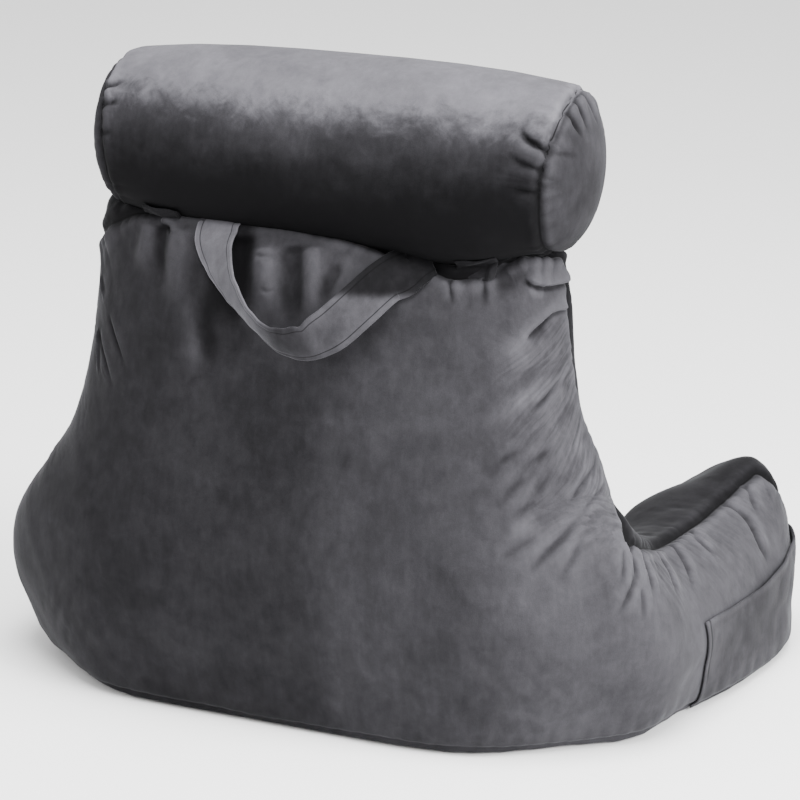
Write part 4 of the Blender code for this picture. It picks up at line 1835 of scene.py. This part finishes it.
@dataclass
class ArmPocket:
    """The pocket on the outside of the -X arm, sewn on three sides and open at its sloping mouth.

    Attributes:
        arm: The cushion that it is sewn to.
        rear_y: Where its rear edge meets the mouth.
        rear_foot_y: Where its rear edge meets the base.
        turn_y: Where it starts to turn round the arm's front.
        turn: How far it turns, in degrees.
        foot: The height of its lower edge.
        rear_mouth: The height of its mouth at the rear.
        front_mouth: The height of its mouth at the front.
        gape: How far its mouth stands off the arm.
        dip: How far its mouth dips between its ends.
        fullness: How far it swells between its seams.
        crease: How deep the crease beside its rear edge is.
        sewn_gap: How far it is laid from the arm, where it is sewn.
        clearance: The least distance from the arm to its middle.
        thickness: Its thickness.
        stitch_place: Where its rear stitching runs, as a share of the way across.
        spine_x: The upright plane inside the arm that its places are measured from.
        side_share: The share of it that lies on the arm's side.
        columns: How many facets it has across.
        rows: How many facets it has along.
        flat: Its width and length, laid out flat. They are not used.
        flat_area: Its area, laid out flat, in square metres. It is not used.
        piece: The finished piece.
    """

    arm: Backrest
    rear_y: float = 0.03965
    rear_foot_y: float = 0.01565
    turn_y: float = -0.16535
    turn: float = 62.0
    foot: float = 0.004
    rear_mouth: float = 0.102
    front_mouth: float = 0.122
    gape: float = 0.0026
    dip: float = 0.014
    fullness: float = 0.0022
    crease: float = 0.0034
    sewn_gap: float = 0.0010
    clearance: float = 0.0022
    thickness: float = 0.0026
    stitch_place: float = 0.022
    spine_x: float = -0.2711
    side_share: float = 0.55
    columns: int = 110
    rows: int = 44
    flat: tuple[float, float] = (0.30, 0.115)
    flat_area: float = 0.030
    piece: bpy.types.Object = field(init=False)

    def build(self) -> None:
        """Lays the pocket on the arm."""

        def place(across: float, along: float) -> Vector:
            """Where one point of the pocket lies.

            Args:
                across: Its share of the way across, from 0 to 1.
                along: Its share of the way along, from 0 to 1.

            Returns:
                The place.
            """
            rear = self.rear_foot_y + along * (self.rear_y - self.rear_foot_y)
            y = rear + min(across / self.side_share, 1.0) * (self.turn_y - rear)
            past_corner = max(0.0, (across - self.side_share) / (1 - self.side_share))
            turn = past_corner * math.radians(self.turn)
            mouth = self.rear_mouth + across * (self.front_mouth - self.rear_mouth)
            mouth -= self.dip * math.sin(math.pi * across**0.8) ** 1.5
            start = Vector((self.spine_x, y, self.foot + along * (mouth - self.foot)))
            outward = Vector((-math.cos(turn), -math.sin(turn), 0.0))
            bare, normal, _, _ = self.arm.bare.ray_cast(start, outward)
            folded = self.arm.skin.tree.ray_cast(start, outward)[0]
            edge = min(across * 4, (1 - across) * 5, along * 3, 1.0)
            out = self.sewn_gap + self.fullness * math.sin(math.pi * edge / 2) * (1 - 0.4 * along)
            out += self.gape * along**3 * math.sin(math.pi * across**1.4) ** 0.8
            out += 0.0008 * math.sin(17 * across - 6 * along) * edge
            out += 0.0006 * math.sin(31 * across + 9 * along) * edge
            crease_at = 0.055 + 0.03 * (1 - along)
            out -= self.crease * float(bell(across - crease_at, 0.009)) * along
            return self.arm.skin.lifted(folded.lerp(bare, edge) + normal * out, self.clearance)

        self.piece = laid_sheet("arm_pocket_panel", self.columns, self.rows, place)

        def pinched(across: float, along: float) -> float:
            """How much is left: more at the rolled mouth, less at the rear stitching.

            Args:
                across: Its share of the way across, from 0 to 1.
                along: Its share of the way along, from 0 to 1.

            Returns:
                A share of the thickness.
            """
            hem = 1.0 if along > 0.95 else 0.72
            stitch = float(bell(across - self.stitch_place, 0.006)) * min(1.0, 3 * along)
            return hem - 0.40 * stitch

        thicken(self.piece, self.thickness, pinched)

    def dress(self) -> None:
        """Gives the pocket its velvet and puts it on the frame."""
        velvet = Velvet(VelvetLook("pocket_velvet", mottle=0.10, seed_shift=(0.7, 2.2, 1.1)))
        bench = velvet.bench
        across, along = bench.unwrapped()
        paleness = 0.38 + along.between(0.93, 0.97) * 0.05 + (velvet.patches() - 0.5) * 0.16
        stitched = abs(across - self.stitch_place).between(0.006, 0.003)
        line = stitched * along.between(0.15, 0.45) * 0.7
        put_on_frame(self.piece, velvet.finish(paleness, line), "arm_pocket")


# ------------------------------------------------------------------------------------------------
# The camera and the room


class SoftLight(NamedTuple):
    """A square light.

    Attributes:
        name: Its name.
        size: The length of its side.
        power: Its power, in watts.
        place: Where it stands.
    """

    name: str
    size: float
    power: float
    place: tuple[float, float, float]


@dataclass(frozen=True)
class Studio:
    """A pale floor, soft lights and the camera.

    Attributes:
        azimuth: The camera's angle round the pillow.
        elevation: Its angle above the horizon.
        distance: Its distance from what it looks at.
        lens: Its lens, in millimetres.
        aim: The place that it looks at.
        aside: How far it is moved to its right and up, without turning.
        paint: The floor's grey.
        daylight: How strong the even light of the room is.
        lit: The place that the lights face.
        lights: The soft lights.
    """

    azimuth: float = 205.258
    elevation: float = 16.057
    distance: float = 3.586
    lens: float = 162.0
    aim: tuple[float, float, float] = (0.0039, -0.0053, 0.300)
    aside: tuple[float, float] = (0.0124, -0.0300)
    paint: float = 0.90
    daylight: float = 1.3
    lit: tuple[float, float, float] = (0.0, 0.0, 0.3)
    lights: tuple[SoftLight, ...] = (
        SoftLight("light_above", 2.0, 260.0, (-0.5, 0.8, 3.0)),
        SoftLight("light_right", 2.0, 250.0, (-3.0, 0.5, 1.5)),
        SoftLight("light_left", 1.6, 20.0, (2.8, 0.4, 1.2)),
    )

    def add_camera(self) -> None:
        """Adds the camera."""
        turn, rise = math.radians(self.azimuth), math.radians(self.elevation)
        level = Vector((math.sin(turn), -math.cos(turn), 0.0))
        back = level * math.cos(rise) + Vector((0.0, 0.0, math.sin(rise)))
        bpy.ops.object.camera_add()
        camera = bpy.context.object
        camera.name = "camera"
        camera.rotation_mode = "QUATERNION"
        camera.rotation_quaternion = (-back).to_track_quat("-Z", "Y")
        right = camera.rotation_quaternion @ Vector((1.0, 0.0, 0.0))
        above = camera.rotation_quaternion @ Vector((0.0, 1.0, 0.0))
        camera.location = Vector(self.aim) + back * self.distance
        camera.location += right * self.aside[0] + above * self.aside[1]
        camera.data.lens = self.lens
        camera.data.sensor_width = 36.0
        camera.data.clip_end = 50.0
        bpy.context.scene.camera = camera

    def add_floor(self) -> None:
        """Adds the pale floor."""
        bpy.ops.mesh.primitive_plane_add(size=30.0)
        floor = bpy.context.object
        floor.name = "floor"
        bench = NodeBench("floor_paint")
        grey = (self.paint, self.paint, self.paint, 1.0)
        inputs = {"Base Color": grey, "Roughness": 0.9}
        bench.surface(bench.node("ShaderNodeBsdfPrincipled", None, inputs))
        floor.data.materials.append(bench.material)

    def add_light(self, soft: SoftLight) -> None:
        """Adds one soft light that faces the pillow.

        Args:
            soft: The light.
        """
        bpy.ops.object.light_add(type="AREA", location=soft.place)
        light = bpy.context.object
        light.name = soft.name
        light.data.shape = "SQUARE"
        light.data.size = soft.size
        light.data.energy = soft.power
        light.rotation_mode = "QUATERNION"
        facing = Vector(self.lit) - Vector(soft.place)
        light.rotation_quaternion = facing.to_track_quat("-Z", "Y")

    def build(self) -> None:
        """Adds everything."""
        bpy.ops.object.select_all(action="DESELECT")
        self.add_camera()
        self.add_floor()
        for soft in self.lights:
            self.add_light(soft)
        world = bpy.data.worlds.new("room")
        bpy.context.scene.world = world
        world.use_nodes = True
        background = world.node_tree.nodes["Background"].inputs
        background["Color"].default_value = (1.0, 1.0, 1.0, 1.0)
        background["Strength"].default_value = self.daylight


def report(piece: bpy.types.Object) -> None:
    """Reports a finished piece."""
    log.info("%s: %d faces", piece.name, len(piece.data.polygons))


def main() -> None:
    """Builds the pillow, piece by piece."""
    logging.basicConfig(level=logging.INFO, format="%(name)s: %(message)s")
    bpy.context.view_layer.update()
    Studio().build()
    roll = NeckRoll()
    backrest = Backrest()
    strap = CarryStrap(backrest)
    tabs = (
        RollTab(
            "fastening_tab_folded", "roll_tab_right", roll, x=0.1499, start=37.0, arc=14.0,
            folded=True, paleness=0.13,
        ),
        RollTab(
            "fastening_tab_flat", "roll_tab_left", roll, x=-0.1720, start=32.0, arc=5.0,
            folded=False, paleness=0.20, hang=0.017,
        ),
    )
    roll.build()
    roll.dress()
    report(roll.piece)
    backrest.build()
    backrest.clear_of(roll.skin, ROLL_GAP)
    backrest.dress()
    report(backrest.piece)
    for part in (strap, *tabs, ArmPocket(backrest)):
        part.build()
        part.dress()
        report(part.piece)


if __name__ == "__main__":
    main()
